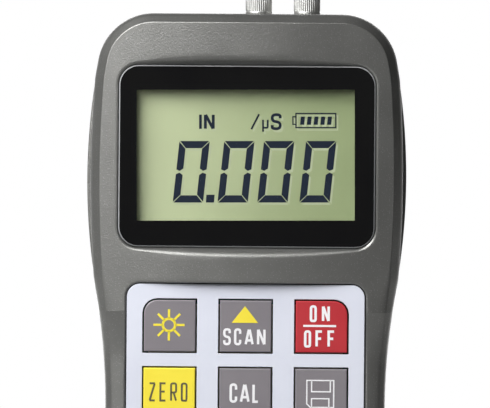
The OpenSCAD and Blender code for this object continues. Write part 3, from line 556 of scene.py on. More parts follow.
def outlineLoop(inset, step=0.0):
    # outline of the case: corner arc, bulging head, hollow blend to the grip, foot arc, then mirrored
    half, grip = case["headWidth"] / 2, case["headWidth"] / 2 - case["waist"]
    widestZ = case["height"] - case["widestDrop"]
    headC = np.array([half - case["headArc"], widestZ])
    reach = case["headArc"] + case["blendArc"]
    rise = math.sqrt(reach ** 2 - (grip + case["blendArc"] - headC[0]) ** 2)
    blendC = np.array([grip + case["blendArc"], widestZ - rise])
    blendA = math.degrees(math.asin(rise / reach))
    cornerZ = case["height"] - case["cornerR"]
    fromHead = case["headArc"] - case["cornerR"]
    cornerC = np.array([headC[0] + math.sqrt(fromHead ** 2 - (cornerZ - widestZ) ** 2), cornerZ])
    cornerA = math.degrees(math.asin((cornerZ - widestZ) / fromHead))
    footC = np.array([grip - case["footR"], case["footR"]])
    side = np.vstack([
        arcPoints(cornerC, case["cornerR"] - inset, 90, cornerA, 20),
        arcPoints(headC, case["headArc"] - inset, cornerA, -blendA, 46),
        arcPoints(blendC, case["blendArc"] + inset, 180 - blendA, 180, 26),
        np.column_stack([np.full(12, grip - inset), np.linspace(blendC[1], footC[1], 12, endpoint=False)]),
        arcPoints(footC, case["footR"] - inset, 0, -90, 14), [[footC[0], inset]]])
    u = (side[:, 1] - widestZ) / case["stepSpan"]
    side[:, 0] -= step * np.clip(1 - u * u, 0, None)
    other = side[::-1] * [-1, 1]
    across = np.linspace(0, 1, 26)[1:-1, None]
    foot = side[-1] + (other[0] - side[-1]) * across
    top = other[-1] + (side[0] - other[-1]) * across
    return np.vstack([side, foot, other, top])


def edgeProfile(points, share):
    # inset and depth along a shell's front edge: each middle point is a corner, softened by a curve
    points = [np.array(p, float) for p in points]
    first = roundedEdge(points[0], points[1], (points[1] + (points[2] - points[1]) * share), 5)[:, 0]
    second = roundedEdge(points[1] + (points[2] - points[1]) * 0.7, points[2], points[3], 6)[:, 0]
    return np.vstack([first, second])


softEdge = edgeProfile([(4.0, 0.0), (1.7, 0.05), (0.05, 1.7), (0.0, 4.0)], 0.25)
crispEdge = edgeProfile([(2.25, 0.0), (2.1, 0.0), (0.3, 2.35), (0.0, 3.6)], 0.06)


def shellRings(side, roll, step):
    # from the inner rim round the joint, up the side and over the edge to the face
    joint, soft = case["partingY"], case["jointRound"]
    rings = [standing(outlineLoop(case["wall"], step), joint), standing(outlineLoop(soft * 1.6, step), joint)]
    for a in np.radians(np.linspace(0, 90, 5)):
        inset = soft * (1 - math.sin(a))
        rings.append(standing(outlineLoop(inset, step), joint + side * soft * (1 - math.cos(a))))
    if roll:
        for a in np.radians(np.linspace(0, 90, 11)):
            loop = outlineLoop(roll * (1 - math.cos(a)), step)
            rings.append(standing(loop, case["backY"] - side * roll * (1 - math.sin(a))))
        return rings
    # the front edge is crisp round the head and soft round the grip
    outer = outlineLoop(0, step)
    inward = outlineLoop(1, step) - outer
    u = np.clip((outer[:, 1] - case["softBelow"]) / (case["crispAbove"] - case["softBelow"]), 0, 1)
    crisp = u * u * (3 - 2 * u)
    for (softIn, softD), (crispIn, crispD) in zip(softEdge[::-1], crispEdge[::-1]):
        loop = outer + inward * (softIn + (crispIn - softIn) * crisp)[:, None]
        rings.append(standing(loop, crownAt(loop[:, 0]) + softD + (crispD - softD) * crisp))
    return rings


# ---- the front of the case, with the places of the display, the keys and the disc

lens = {"width": 59.2, "height": 41.9, "z": 117.05, "radius": 4.6, "gap": 0.2, "thick": 1.4, "lip": 1.4,
        "windowW": 50.3, "windowH": 30.2, "windowX": -0.3, "windowZ": 117.38, "turn": 0.45,
        "openingW": 53.3, "openingH": 32.9, "openingZ": 117.45, "chamfer": 0.26, "slope": 0.72,
        "slopeLeast": 0.45, "ridgeSoft": 0.75}
pad = {"width": 54.8, "height": 50.6, "z": 62.25, "radius": 3.0, "gap": 0.3, "thick": 0.6,
       "hole": 12.6, "pitchX": 17.5, "pitchZ": 15.65, "cornerR": 3.4, "sharpR": 0.15, "edgeSoft": 0.14,
       "holeSoft": 0.08}
disc = {"radius": 10.0, "gap": 0.1, "z": 18.5, "thick": 4.0, "cup": 1.2, "edgeSoft": 0.35}
lensY = float(crownAt(lens["width"] / 2))
lipY = lensY + lens["thick"]
innerY = lipY + lens["lip"]
padY = float(crownAt(pad["width"] / 2))
padBackY = padY + pad["thick"]
discY = float(crownAt(disc["radius"]))
columns, rows = (-1, 0, 1), (1, 0, -1)


def keyLoop(column, row, grow=0.0, edgeSteps=4):
    # only the outermost corners of the keypad are round
    soft, sharp = pad["cornerR"] + grow, max(pad["sharpR"] + grow, 0.05)
    radii = [soft if (column, row) == corner else sharp for corner in ((1, 1), (-1, 1), (-1, -1), (1, -1))]
    side = pad["hole"] + 2 * grow
    return roundedLoop(column * pad["pitchX"], pad["z"] + row * pad["pitchZ"], side, side, radii,
                       edgeSteps, 5)[0]


def lensRecess():
    # a steep slope runs from the crown down to the flat round the lens; gives its bands, rim and foot
    loop, out = plateLoop(lens, lens["gap"], 30, 12)
    reach = np.full(len(loop), lens["slopeLeast"])
    for _ in range(12):
        depth = lensY - crownAt(loop[:, 0] + reach * out[:, 0])
        reach = np.maximum(depth * lens["slope"], lens["slopeLeast"])
    ridgeSoft = np.clip(depth * 0.6, 0.3, lens["ridgeSoft"])
    rim = loop + (reach + ridgeSoft)[:, None] * out
    ridge = onCrown(loop + reach[:, None] * out)
    share = np.minimum(0.6, ridgeSoft / reach)[:, None]
    base = standing(loop, lensY + 0.12)
    band = [*roundedEdge(onCrown(rim), ridge, ridge + (base - ridge) * share),
            base + (ridge - base) * 0.12, standing(loop, lensY + 0.3), standing(loop, lipY)]
    return bandBetween(band), rim, loop


def frontCase():
    rings = shellRings(-1, 0, case["sideStep"])
    lensBand, lensRim, lensLoop = lensRecess()
    opening = roundedLoop(0, lens["openingZ"], lens["openingW"], lens["openingH"], 0.1, 30, 2)[0]
    parts = [bandBetween(rings), lensBand, panelBetween(lensLoop, [opening], lipY),
             wallOf(opening, lipY, innerY)]
    # keypad recess
    soft = case["edgeSoft"]
    padLoop, padOut = plateLoop(pad, pad["gap"], 24)
    padRim = padLoop + soft * padOut
    padWall = standing(padLoop, np.minimum(crownAt(padLoop[:, 0]) + soft, padBackY - 0.05))
    parts.append(bandBetween([*roundedEdge(onCrown(padRim), onCrown(padLoop), padWall),
                              standing(padLoop, padBackY)]))
    keyLoops = [keyLoop(c, r) for c in columns for r in rows]
    parts.append(panelBetween(padLoop, keyLoops, padBackY))
    parts += [wallOf(k, padBackY, innerY) for k in keyLoops]
    # seat of the reference disc
    soft, seatY = disc["edgeSoft"], discY + disc["thick"]
    discRim, seat = [circleLoop(0, disc["z"], disc["radius"] + disc["gap"] + g) for g in (soft, 0.0)]
    parts.append(bandBetween([*roundedEdge(onCrown(discRim), onCrown(seat), onCrown(seat) + [0, soft, 0]),
                              standing(seat, seatY)]))
    parts.append(panelBetween(seat, [], seatY))
    parts.append(panelBetween(rings[-1][:, [0, 2]], [lensRim, padRim, discRim], crownAt, 2.0))
    # inside, round the openings and the cup behind the disc
    inner = outlineLoop(case["wall"], case["sideStep"])
    cup = circleLoop(0, disc["z"], disc["radius"] + disc["cup"])
    cupY = seatY + disc["gap"] + disc["cup"]
    parts += pitParts(cup, innerY, cupY) + pitParts(inner, case["partingY"], innerY,
                                                    [opening, cup, *keyLoops])
    return makePiece("frontCase", parts, "case", "casing", ["front_shell"])


# ---- the back of the case

bay = {"width": 29.35, "low": 20.0, "high": 76.5, "frontY": -1.2, "wall": 1.5, "ledgeY": 13.6, "seat": 1.4,
       "recessW": 38.6, "recessLow": 14.7, "recessHigh": 81.8, "seatLap": 1.5,
       "thumbHalf": 7.0, "thumbR": 9.0, "thumbD": 1.2, "thumbZ": 81.5}
label = {"width": 42.0, "height": 31.5, "z": 109.25, "radius": 2.0, "gap": 0.15, "thick": 0.4, "soft": 0.1}
screws = {"places": [(27, 140.2), (-27, 140.2), (24, 10), (-24, 10)], "bore": 2.55, "floorY": 14.0,
          "soft": 0.25}


def uprightLoop(half, low, high):
    return np.array([[half, low], [half, high], [-half, high], [-half, low]])


def coverRecess():
    # the cover's recess, with the thumb hollow above its top edge; gives its parts and its outline
    backY, ledgeY = case["backY"], bay["ledgeY"]
    half, t, high, low = bay["recessW"] / 2, bay["thumbHalf"], bay["recessHigh"], bay["recessLow"]
    # thumb hollow: depth is axis - sqrt(R^2 - (z - middle)^2)
    axisY = backY + bay["thumbR"] - bay["thumbD"]
    thumbTop = bay["thumbZ"] + math.sqrt(bay["thumbR"] ** 2 - (axisY - backY) ** 2)
    climb = high + (thumbTop - high) * np.linspace(0, 1, 9)
    hollowY = axisY - np.sqrt(bay["thumbR"] ** 2 - (climb - bay["thumbZ"]) ** 2)
    acrossX = np.linspace(t, -t, 9)
    hollow = np.stack(np.broadcast_arrays(acrossX[None], hollowY[:, None], climb[:, None]), -1)
    index = np.arange(81).reshape(9, 9)
    quads = np.stack([index[:-1, :-1], index[:-1, 1:], index[1:, 1:], index[1:, :-1]], -1).reshape(-1, 4)
    parts = [(hollow.reshape(-1, 3), quads)]
    for x in (t, -t):
        cheek = np.column_stack([np.full(9, x), climb])
        parts.append(stripBetween(standing(cheek, backY), standing(cheek, hollowY)))
    edge = np.column_stack([acrossX, np.full(9, high)])
    parts.append(stripBetween(standing(edge, hollowY[0]), standing(edge, ledgeY)))
    around = np.array([[t, high], [half, high], [half, low], [-half, low], [-half, high], [-t, high]])
    parts.append(stripBetween(standing(around, backY), standing(around, ledgeY)))
    for x in (t, -t):
        parts.append((np.array([[x, y, high] for y in (backY, hollowY[0], ledgeY)]), [[0, 1, 2]]))
    # ledge under the cover, and the bay
    bayLoop = uprightLoop(bay["width"] / 2, bay["low"], bay["high"])
    ledgeLoop = np.vstack([[[half, low], [half, high]], edge, [[-half, high], [-half, low]]])
    parts += [panelBetween(ledgeLoop, [bayLoop], ledgeY), *pitParts(bayLoop, ledgeY, bay["frontY"])]
    right = np.column_stack([np.full(9, t), climb])
    crest = np.column_stack([acrossX[1:-1], np.full(7, thumbTop)])
    outline = np.vstack([[[half, low], [half, high]], right, crest, right[::-1] * [-1, 1],
                         [[-half, high], [-half, low]]])
    return parts, outline


def rearCase():
    backY = case["backY"]
    rings = shellRings(1, case["backRoll"], 0.0)
    # the last rings of the rolled edge give way round the screw counterbores, which reach into it
    for ring, clear in ((rings[-1], 0.35), (rings[-2], 0.5)):
        for place in screws["places"]:
            away = ring[:, [0, 2]] - place
            push = np.maximum(1.0, (screws["bore"] + clear) / np.linalg.norm(away, axis=1))
            ring[:, [0, 2]] = place + away * push[:, None]
    recessParts, recess = coverRecess()
    parts = [bandBetween(rings), *recessParts]
    # label recess and screw counterbores
    labelLoop = plateLoop(label, label["gap"], 8, 8)[0]
    parts += pitParts(labelLoop, backY, backY - label["thick"])
    bores, soft, boreFloor = [], screws["soft"], screws["floorY"]
    for x, z in screws["places"]:
        wide, tight = [circleLoop(x, z, screws["bore"] + g, 48) for g in (soft, 0.0)]
        bores.append(wide)
        parts += [lipBand(wide, tight, backY, -soft, boreFloor), panelBetween(tight, [], boreFloor)]
    parts.append(panelBetween(rings[-1][:, [0, 2]], [recess, labelLoop, *bores], backY))
    # inside: the hollow round the seat of the cover and the bay
    inner, floorY = outlineLoop(case["wall"], 0.0), backY - case["backWall"]
    wall, lap = bay["wall"], bay["seatLap"]
    seat = uprightLoop(bay["recessW"] / 2 + lap, bay["recessLow"] - lap, bay["recessHigh"] + lap)
    box = uprightLoop(bay["width"] / 2 + wall, bay["low"] - wall, bay["high"] + wall)
    seatY, boxY = bay["ledgeY"] - bay["seat"], bay["frontY"] - wall
    parts += pitParts(inner, case["partingY"], floorY, [seat])
    parts += pitParts(seat, floorY, seatY, [box]) + pitParts(box, seatY, boxY)
    return makePiece("rearCase", parts, "case", "casing", ["rear_shell"])


frontCase()
rearCase()
print("case made")


# ---- display

def turned(points, x, z):
    # turns flat points about x, z: the display sits a touch askew in its case
    a = math.radians(lens["turn"])
    return (points - [x, z]) @ np.array([[math.cos(a), math.sin(a)], [-math.sin(a), math.cos(a)]]) + [x, z]


def windowLoop(less=0.0):
    x, z = lens["windowX"], lens["windowZ"]
    return turned(roundedLoop(x, z, lens["windowW"] - less, lens["windowH"] - less, 0.08, 1, 2)[0], x, z)


def lensPieces():
    # a clear plate: its bevelled rim is bare, its back is printed black up to the window
    c = lens["chamfer"]
    loop, out = plateLoop(lens, 0.0, 16, 12)
    window, clear = windowLoop(), windowLoop(0.04)
    face, under = loop - c * out, loop - 0.9 * c * out
    parts = [bandBetween([standing(face, lensY), standing(under, lensY + 0.5 * c), standing(under, lipY)]),
             panelBetween(face, [window], lensY), panelBetween(under, [window], lipY),
             wallOf(window, lensY, lipY)]
    makePiece("lensBorder", parts, "case", "lensBlack", ["display_lens"], 60)
    bevel = roundedEdge(standing(face + 0.03 * out, lensY + 0.01),
                        standing(loop - 0.2 * c * out, lensY + 0.35 * c), standing(loop, lensY + 0.9 * c), 4)
    rim = [standing(face - 0.02 * out, lensY + 0.03), standing(face, lensY + 0.005), *bevel,
           standing(loop, lipY), standing(under, lipY), standing(under, lensY + 0.5 * c)]
    makePiece("lensRim", [bandBetween([*rim, rim[0]])], "case", "lensRim")
    front, back = lensY + 0.01, lipY - 0.01
    parts = [panelBetween(clear, [], front), *pitParts(clear, front, back)]
    makePiece("lensWindow", parts, "case", "lensClear")


def prism(points, depths):
    # a flat shape with a little thickness: front face, back face and sides
    points = np.asarray(points, float)
    front, back = [standing(points, y) for y in depths]
    n = len(points)
    i = np.arange(n)
    sides = np.column_stack([i, (i + 1) % n, (i + 1) % n + n, i + n]).tolist()
    return [(np.vstack([front, back]), sides), (front, [list(range(n))]), (back, [list(range(n))])]


def softPath(points, radius):
    # rounds the corners of an open line: each corner becomes a quadratic curve between two points near it
    points = [np.array(p, float) for p in points]
    if radius <= 0:
        return np.array(points)
    path = [points[0]]
    for before, corner, after in zip(points, points[1:], points[2:]):
        a, b = [corner + unit(other - corner) * min(radius, np.linalg.norm(other - corner) / 2)
                for other in (before, after)]
        path += [(1 - t) ** 2 * a + 2 * t * (1 - t) * corner + t ** 2 * b for t in np.linspace(0, 1, 7)]
    path.append(points[-1])
    return np.array(path)


def strokeBand(path, width, depths, closed=False):
    # a line of even width: each point moves to both sides along its mitre
    path = np.asarray(path, float)
    if closed:
        path = path[np.linalg.norm(path - np.roll(path, 1, 0), axis=1) > 1e-4]
        ahead, behind = np.roll(path, -1, 0) - path, path - np.roll(path, 1, 0)
    else:
        path = path[np.concatenate([[True], np.linalg.norm(np.diff(path, axis=0), axis=1) > 1e-4])]
        step = np.diff(path, axis=0)
        ahead, behind = np.vstack([step, step[-1:]]), np.vstack([step[:1], step])
    ahead = unit(ahead)
    middle = unit(ahead + unit(behind))
    across = np.column_stack([-middle[:, 1], middle[:, 0]])
    stretch = np.clip(1 / np.maximum((middle * ahead).sum(1), 0.2), 1, 1.7)[:, None]
    left, right = path + across * stretch * width / 2, path - across * stretch * width / 2
    front, back = depths
    rings = np.stack([standing(left, front), standing(right, front), standing(right, back),
                      standing(left, back)], 1)
    n = len(path)
    i = np.arange(n if closed else n - 1)[:, None]
    following, i, q = (i + 1) % n * 4, i * 4, np.arange(4)[None]
    nextQ = (q + 1) % 4
    quads = np.stack([i + q, i + nextQ, following + nextQ, following + q], -1).reshape(-1, 4).tolist()
    if not closed:
        quads += [[0, 1, 2, 3], [4 * n - 1, 4 * n - 2, 4 * n - 3, 4 * n - 4]]
    return rings.reshape(-1, 3), quads


# letters as lines in a unit box: share of roundness, then the points
letters = {
    "S": [(0.5, (1, 0.74), (1, 1), (0, 1), (0, 0.53), (1, 0.47), (1, 0), (0, 0), (0, 0.26))],
    "C": [(0.5, (1, 0.7), (1, 1), (0, 1), (0, 0), (1, 0), (1, 0.3))],
    "A": [(0, (0, 0), (0.45, 1)), (0, (1, 0), (0.55, 1)), (0, (0.17, 0.26), (0.83, 0.26))],
    "N": [(0, (0, 0), (0, 1)), (0, (1, 0), (1, 1)), (0, (0.03, 1), (0.97, 0))],
    "O": [(0.5, (0.5, 0), (1, 0), (1, 1), (0, 1), (0, 0), (0.5, 0))],
    "F": [(0, (0, 0), (0, 1), (1, 1)), (0, (0, 0.52), (0.85, 0.52))],
    "Z": [(0, (0, 1), (1, 1)), (0, (0.96, 0.98), (0.04, 0.02)), (0, (0, 0), (1, 0))],
    "E": [(0, (1, 1), (0, 1), (0, 0), (1, 0)), (0, (0, 0.52), (0.85, 0.52))],
    "R": [(0.4, (0, 0), (0, 1), (1, 1), (1, 0.47), (0, 0.47)), (0, (0.5, 0.47), (1, 0))],
    "L": [(0, (0, 1), (0, 0), (1, 0))],
    "I": [(0, (0.5, 0), (0.5, 1))],
    "V": [(0, (0, 1), (0.5, 0)), (0, (0.5, 0), (1, 1))],
    "micro": [(0.3, (0, 1), (0, 0), (1, 0), (1, 1)), (0, (0, 0.5), (0, -0.5))],
    "slash": [(0, (0, 0), (1, 1))],
}


def letterParts(letter, x, z, width, height, stroke, depths):
    # one letter with its lower left corner at x, z; lines that cross lie at slightly different depths
    parts = []
    for k, (roundness, *points) in enumerate(letters[letter]):
        scaled = np.array(points) * [width - stroke, height - stroke] + [x + stroke / 2, z + stroke / 2]
        path = softPath(scaled, roundness * (width - stroke))
        depthsHere = depths[0] - 0.003 * k, depths[1] + 0.003 * k
        parts.append(strokeBand(path, stroke, depthsHere, points[0] == points[-1]))
    return parts


def wordParts(word, widths, x, z, height, gap, stroke, depths):
    # a word centred on x, standing on z
    left = x - (sum(widths) + gap * (len(widths) - 1)) / 2
    parts = []
    for letter, width in zip(word, widths):
        parts += letterParts(letter, left, z, width, height, stroke, depths)
        left += width + gap
    return parts


lcd = {"y": -10.9, "ink": 0.05, "sunk": 0.02, "digitsX": [-17.15, -6.82, 2.37, 12.08], "digitZ": 106.45,
       "digitW": 7.0, "digitH": 14.2, "upright": 1.6, "level": 1.65, "slit": 0.16, "slant": 0.11,
       "point": (-9.5, 106.45, 1.9, 1.8, 0.12), "unitZ": 123.15, "unitH": 3.9,
       "battery": (11.3, 20.5, 0.6, 3.85), "line": 0.3, "nub": 0.7, "nubLine": 0.28, "bars": 5,
       "barPitch": 1.56, "barW": 0.95, "barLean": 0.2, "paintedShadowX": 0.42, "paintedShadowZ": -0.55,
       "signs": [  # x, rise, width, height as a share, stroke
           ("I", -11.05, 0, 0.62, 1, 0.62), ("N", -9.95, 0, 2.5, 1, 0.68), ("slash", 0.8, 0, 2.2, 1, 0.42),
           ("micro", 3.5, 0.35, 1.5, 0.58, 0.42), ("S", 5.5, 0, 2.5, 1, 0.66)]}


def segmentShapes(x, z):
    # a nought of six segments, cut at 45 degrees where they meet, leaning with height
    w, h, a, b, g = lcd["digitW"], lcd["digitH"], lcd["upright"], lcd["level"], lcd["slit"]
    mid = h / 2
    shapes = [
        [(g, h), (w - g, h), (w - g - a * 0.92, h - b), (g + a * 0.92, h - b)],
        [(g, 0), (w - g, 0), (w - g - a * 0.92, b), (g + a * 0.92, b)],
        [(0, h - g), (a, h - b - g), (a, mid + 0.75), (a * 0.5, mid + 0.2), (0, mid + 0.55)],
        [(0, g), (a, b + g), (a, mid - 0.75), (a * 0.5, mid - 0.2), (0, mid - 0.55)]]
    shapes += [[(w - u, v) for u, v in shape] for shape in shapes[2:4]]
    return [[(x + u + lcd["slant"] * v, z + v) for u, v in shape] for shape in shapes]


def lcdParts(dx, dz, depths):
    parts = []
    for x in lcd["digitsX"]:
        for shape in segmentShapes(x + dx, lcd["digitZ"] + dz):
            parts += prism(shape, depths)
    x, z, w, h, lean = lcd["point"]
    x, z = x + dx, z + dz
    parts += prism([(x, z), (x + w, z), (x + w + lean, z + h), (x + lean, z + h)], depths)
    unitZ = lcd["unitZ"] + dz
    for letter, x, rise, width, share, stroke in lcd["signs"]:
        parts += letterParts(letter, x + dx, unitZ + rise, width, lcd["unitH"] * share, stroke, depths)
    # battery sign: a frame, a nub and its bars
    left, right, low, high = np.array(lcd["battery"]) + [dx, dx, unitZ, unitZ]
    corners = [(left, low), (right, low), (right, high), (left, high)]
    parts.append(strokeBand(corners, lcd["line"], depths, True))
    nub, shoulder = left - lcd["nub"], 0.75
    parts.append(strokeBand([(left, low + shoulder), (nub, low + shoulder), (nub, high - shoulder),
                             (left, high - shoulder)], lcd["nubLine"], depths))
    w, lean = lcd["barW"], lcd["barLean"]
    for k in range(lcd["bars"]):
        x, foot, top = left + 0.95 + lcd["barPitch"] * k, low + 0.65, high - 0.7
        parts += prism([(x, foot), (x + w, foot), (x + w + lean, top), (x + lean, top)], depths)
    return [(standing(turned(points[:, [0, 2]], 0, lens["windowZ"]), points[:, 1]), faces)
            for points, faces in parts]


lensPieces()
lcdBack = lcd["y"] + lcd["sunk"]
makePiece("lcdDigits", lcdParts(0, 0, (lcd["y"] - lcd["ink"], lcdBack)), "case", "lcdInk")
# a copy of the marks set a little right and down: painted shadow of the marks on the panel
makePiece("lcdDigitPaintedShadow", lcdParts(lcd["paintedShadowX"], lcd["paintedShadowZ"], (lcd["y"] - 0.012, lcdBack)), "case",
          "lcdPaintedShadow")
print("display made")


# ---- keypad

def overlayPiece():
    soft, holeSoft = pad["edgeSoft"], pad["holeSoft"]
    loop, out = plateLoop(pad)
    places = [(c, r) for c in columns for r in rows]
    holes = [keyLoop(c, r) for c, r in places]
    wides = [keyLoop(c, r, holeSoft) for c, r in places]
    parts = plateParts(loop - soft * out, loop, padY, soft, padBackY, 3, wides, holes)
    for hole, wide in zip(holes, wides):
        parts.append(bandBetween([standing(wide, padY), standing(hole, padY + holeSoft),
                                  standing(hole, padBackY)]))
    makePiece("keypadOverlay", parts, "case", "overlayFilm", ["keypad_overlay"])


def overlayGapShade():
    # a dark strip at the floor of the groove round the overlay: painted shade that darkens the gap
    front, back = padBackY - 0.3, padBackY
    inner = roundedLoop(0, pad["z"], pad["width"] + 0.02, pad["height"] + 0.02, pad["radius"], 10, 10)[0]
    outer = plateLoop(pad, pad["gap"] - 0.01)[0]
    rim = [standing(outer, front), standing(outer, back), standing(inner, back), standing(inner, front)]
    makePiece("overlayGapShade", [bandBetween([*rim, rim[0]])], "case", "sealRubber")


keyCap = {"gap": 0.35, "proud": 0.25, "soft": 0.28, "backY": -11.1, "ink": 0.045, "printX": -0.18,
          "printZ": 0.2}
capY = padY - keyCap["proud"]
keys = {  # column, row and tint of each
    "light": (-1, 1, "grey"), "up": (0, 1, "grey"), "power": (1, 1, "red"),
    "zero": (-1, 0, "yellow"), "cal": (0, 0, "grey"), "save": (1, 0, "grey"),
    "velocity": (-1, -1, "grey"), "down": (0, -1, "grey"), "enter": (1, -1, "grey")}
sun = {"ring": 1.42, "ringLine": 0.58, "rays": 8, "rayFrom": 1.5, "rayTo": 3.6, "rayLine": 0.52}
sunRays = [np.outer([sun["rayFrom"], sun["rayTo"]], [math.cos(a), math.sin(a)])
           for a in np.arange(sun["rays"]) * 2 * np.pi / sun["rays"]]
marks = {  # print: key, finish, words (letters, widths, x, z, height, gap, stroke), lines and shapes
    "lightMark": ("light", "inkYellow", {"lines": [
        (sun["ringLine"], circleLoop(0, 0, sun["ring"], 48), True),
        *[(sun["rayLine"], ray, False) for ray in sunRays]]}),
    "upArrow": ("up", "inkYellow", {"shapes": [[(0, 4.45), (-3.05, 0.6), (3.05, 0.6)]]}),
    "scanWord": ("up", "inkWhite", {
        "words": [("SCAN", [1.8, 1.7, 2.15, 2.0], -0.1, -4.6, 3.95, 0.72, 0.56)]}),
    "powerWords": ("power", "inkWhite", {
        "words": [("ON", [1.65, 1.85], -0.25, 0.9, 3.9, 1.15, 0.58),
                  ("OFF", [1.65, 1.8, 1.8], -0.25, -4.98, 4.0, 0.98, 0.58)],
        "lines": [(0.48, [(-4.05, 0.02), (3.55, 0.02)], False)]}),
    "zeroWord": ("zero", "inkDark", {
        "words": [("ZERO", [1.65, 1.6, 1.6, 1.55], -0.1, -2.0, 4.4, 0.86, 0.44)]}),
    "calWord": ("cal", "inkWhite", {"words": [("CAL", [1.8, 2.3, 1.6], 0, -2.2, 4.5, 0.58, 0.58)]}),
    "saveMark": ("save", "inkWhite", {"lines": [  # a storage disc: outline, shutter and label
        (0.3, [(-3.1, 3.1), (-3.1, -2.3), (-2.3, -3.1), (3.1, -3.1), (3.1, 3.1)], True),
        (0.3, [(-2.0, 3.1), (-2.0, 0.5), (2.3, 0.5), (2.3, 3.1)], False),
        (0.3, [(-2.0, -3.1), (-2.0, -1.1), (2.0, -1.1), (2.0, -3.1)], False)]}),
    "velocityWord": ("velocity", "inkWhite", {
        "words": [("VEL", [2.3, 1.7, 1.6], 0, -2.2, 4.5, 0.65, 0.58)]}),
    "downArrow": ("down", "inkYellow", {"shapes": [[(0, -2.0), (3.05, 1.9), (-3.05, 1.9)]]}),
    "enterMark": ("enter", "inkWhite", {
        "lines": [(0.55, [(3.0, 2.6), (3.0, -0.6), (-1.4, -0.6)], False)],
        "shapes": [[(-3.3, -0.6), (-1.2, 0.9), (-1.2, -2.1)]]})}


def keyPiece(name):
    column, row, tint = keys[name]
    side, face = [keyLoop(column, row, -keyCap["gap"] - g, 6) for g in (0.0, keyCap["soft"])]
    parts = plateParts(face, side, capY, keyCap["soft"], keyCap["backY"], 4)
    makePiece(name + "Key", parts, name + "_key", "key" + tint.capitalize(),
              ["key_" + name])


def inkPiece(name, key, finish, words=(), lines=(), shapes=()):
    # a printed mark, drawn about the middle of its key
    column, row, tint = keys[key]
    x, z = column * pad["pitchX"] + keyCap["printX"], pad["z"] + row * pad["pitchZ"] + keyCap["printZ"]
    depths = capY - keyCap["ink"], capY + 0.02
    parts = []
    for word, widths, wordX, wordZ, *sizes in words:
        parts += wordParts(word, widths, x + wordX, z + wordZ, *sizes, depths)
    for width, points, closed in lines:
        parts.append(strokeBand(np.array(points) + [x, z], width, depths, closed))
    for points in shapes:
        parts += prism(np.array(points) + [x, z], depths)
    makePiece(name, parts, key + "_key", finish)


overlayPiece()
# the dark strip in the overlay's groove is painted shade
overlayGapShade()
for keyName in keys:
    keyPiece(keyName)
for markName, (markKey, markFinish, drawing) in marks.items():
    inkPiece(markName, markKey, markFinish, **drawing)
print("keypad made")


# ---- sockets on top

socket = {"radius": 3.1, "height": 8.0, "plain": 0.9, "chamfer": 0.45, "ribs": 40, "ribDepth": 0.1,
          "bore": 2.0, "boreDepth": 6.0, "core": 1.55, "shank": 2.5, "foot": -9.2, "y": 4.6,
          "places": {"transmit_socket": 2.5, "receive_socket": 13.7}}


def socketPiece(node, x):
    # a turned bar: radius follows the profile, and between the plain rings the ribs stand out with angle
    r, h, e, c = socket["radius"], socket["height"], socket["plain"], socket["chamfer"]
    core, shank, foot, bore = socket["core"], socket["shank"], socket["foot"], socket["bore"]
    deep = h - socket["boreDepth"]
    profile = np.array([  # radius, height above the case, share of the ribs
        [core, foot, 0], [shank, foot, 0], [shank, -0.01, 0], [r - c - 0.1, 0.0, 0], [r - c, 0.05, 0],
        [r - 0.05, c, 0], [r, c + 0.08, 0], [r, e - 0.06, 0], [r - 0.04, e, 0], [r - 0.12, e + 0.02, 0.2],
        [r - 0.03, e + 0.3, 1], [r - 0.03, (h + e) / 2 - e / 2, 1], [r - 0.03, h - e - 0.3, 1],
        [r - 0.12, h - e - 0.02, 0.2], [r - 0.24, h - e, 0], [r - 0.2, h - e + 0.08, 0],
        [r - 0.2, h - 0.3, 0], [r - 0.27, h - 0.12, 0], [r - 0.42, h, 0], [bore + 0.2, h, 0],
        [bore + 0.05, h - 0.06, 0], [bore, h - 0.2, 0], [bore, deep, 0], [core, deep, 0]])
    a = np.linspace(0, 2 * np.pi, socket["ribs"] * 8, endpoint=False)
    wave = np.clip(0.5 + 1.4 * np.cos(a * socket["ribs"]), 0, 1) - 1
    radius = profile[:, :1] + profile[:, 2:] * socket["ribDepth"] * wave
    rings = np.stack([x + radius * np.cos(a), socket["y"] + radius * np.sin(a),
                      np.broadcast_to(case["height"] + profile[:, 1:2], radius.shape)], -1)
    rings = np.concatenate([rings, rings[:1]])
    makePiece(node.replace("_s", "S"), [bandBetween(rings)], "case", "socketNickel",
              [node], 30)


for socketNode, socketX in socket["places"].items():
    socketPiece(socketNode, socketX)
print("sockets made")


# ---- back, foot and inside

def labelPlate():
    soft, backY = label["soft"], case["backY"]
    loop, out = plateLoop(label, 0.0, 6, 8)
    parts = plateParts(loop - soft * out, loop, backY, -soft, backY - label["thick"])
    makePiece("labelPlate", parts, "case", "labelMetal", ["label_plate"])


softenNode("batteryCover", "battery_cover", "casing", "cover", 0.3)
softenNode("caseScrews", "case_screws", "screwSteel", "case", 0.12, 2)
softenNode("referenceDisc", "reference_disc", "discSteel", "case", 0.12, 3)
labelPlate()
print("back made")

finishOf = {
    "sealRubber": ["case_seal", "lens_gasket"], "lcdGlass": ["display_panel"],
    "whitePlastic": ["panel_frame", "light_guide"], "stripRubber": ["contact_strips"],
    "boardGreen": ["main_board"], "chipBlack": ["processor", "memory_chip", "sounder"],
    "tinPlate": ["screening_can", "crystal", "key_domes", "battery_plates", "battery_link"],
    "sleeveBlue": ["capacitors"], "domeFilm": ["dome_sheet"], "insulator": ["socket_cores"],
    "nutNickel": ["socket_nuts"], "leadBrass": ["socket_leads"], "cellLeft": ["battery_left"],
    "cellRight": ["battery_right"], "screwSteel": ["board_screws", "battery_springs"]}
for finishName, nodeNames in finishOf.items():
    for nodeName in nodeNames:
        nodes[nodeName].data.materials.clear()
        nodes[nodeName].data.materials.append(materials[finishName])


# ---- floor, light and camera

ground = {"radius": 0.85, "fadeFrom": 0.16, "fadeTo": 0.55, "dark": 0.12, "pale": 0.86, "mirrored": 0.3}


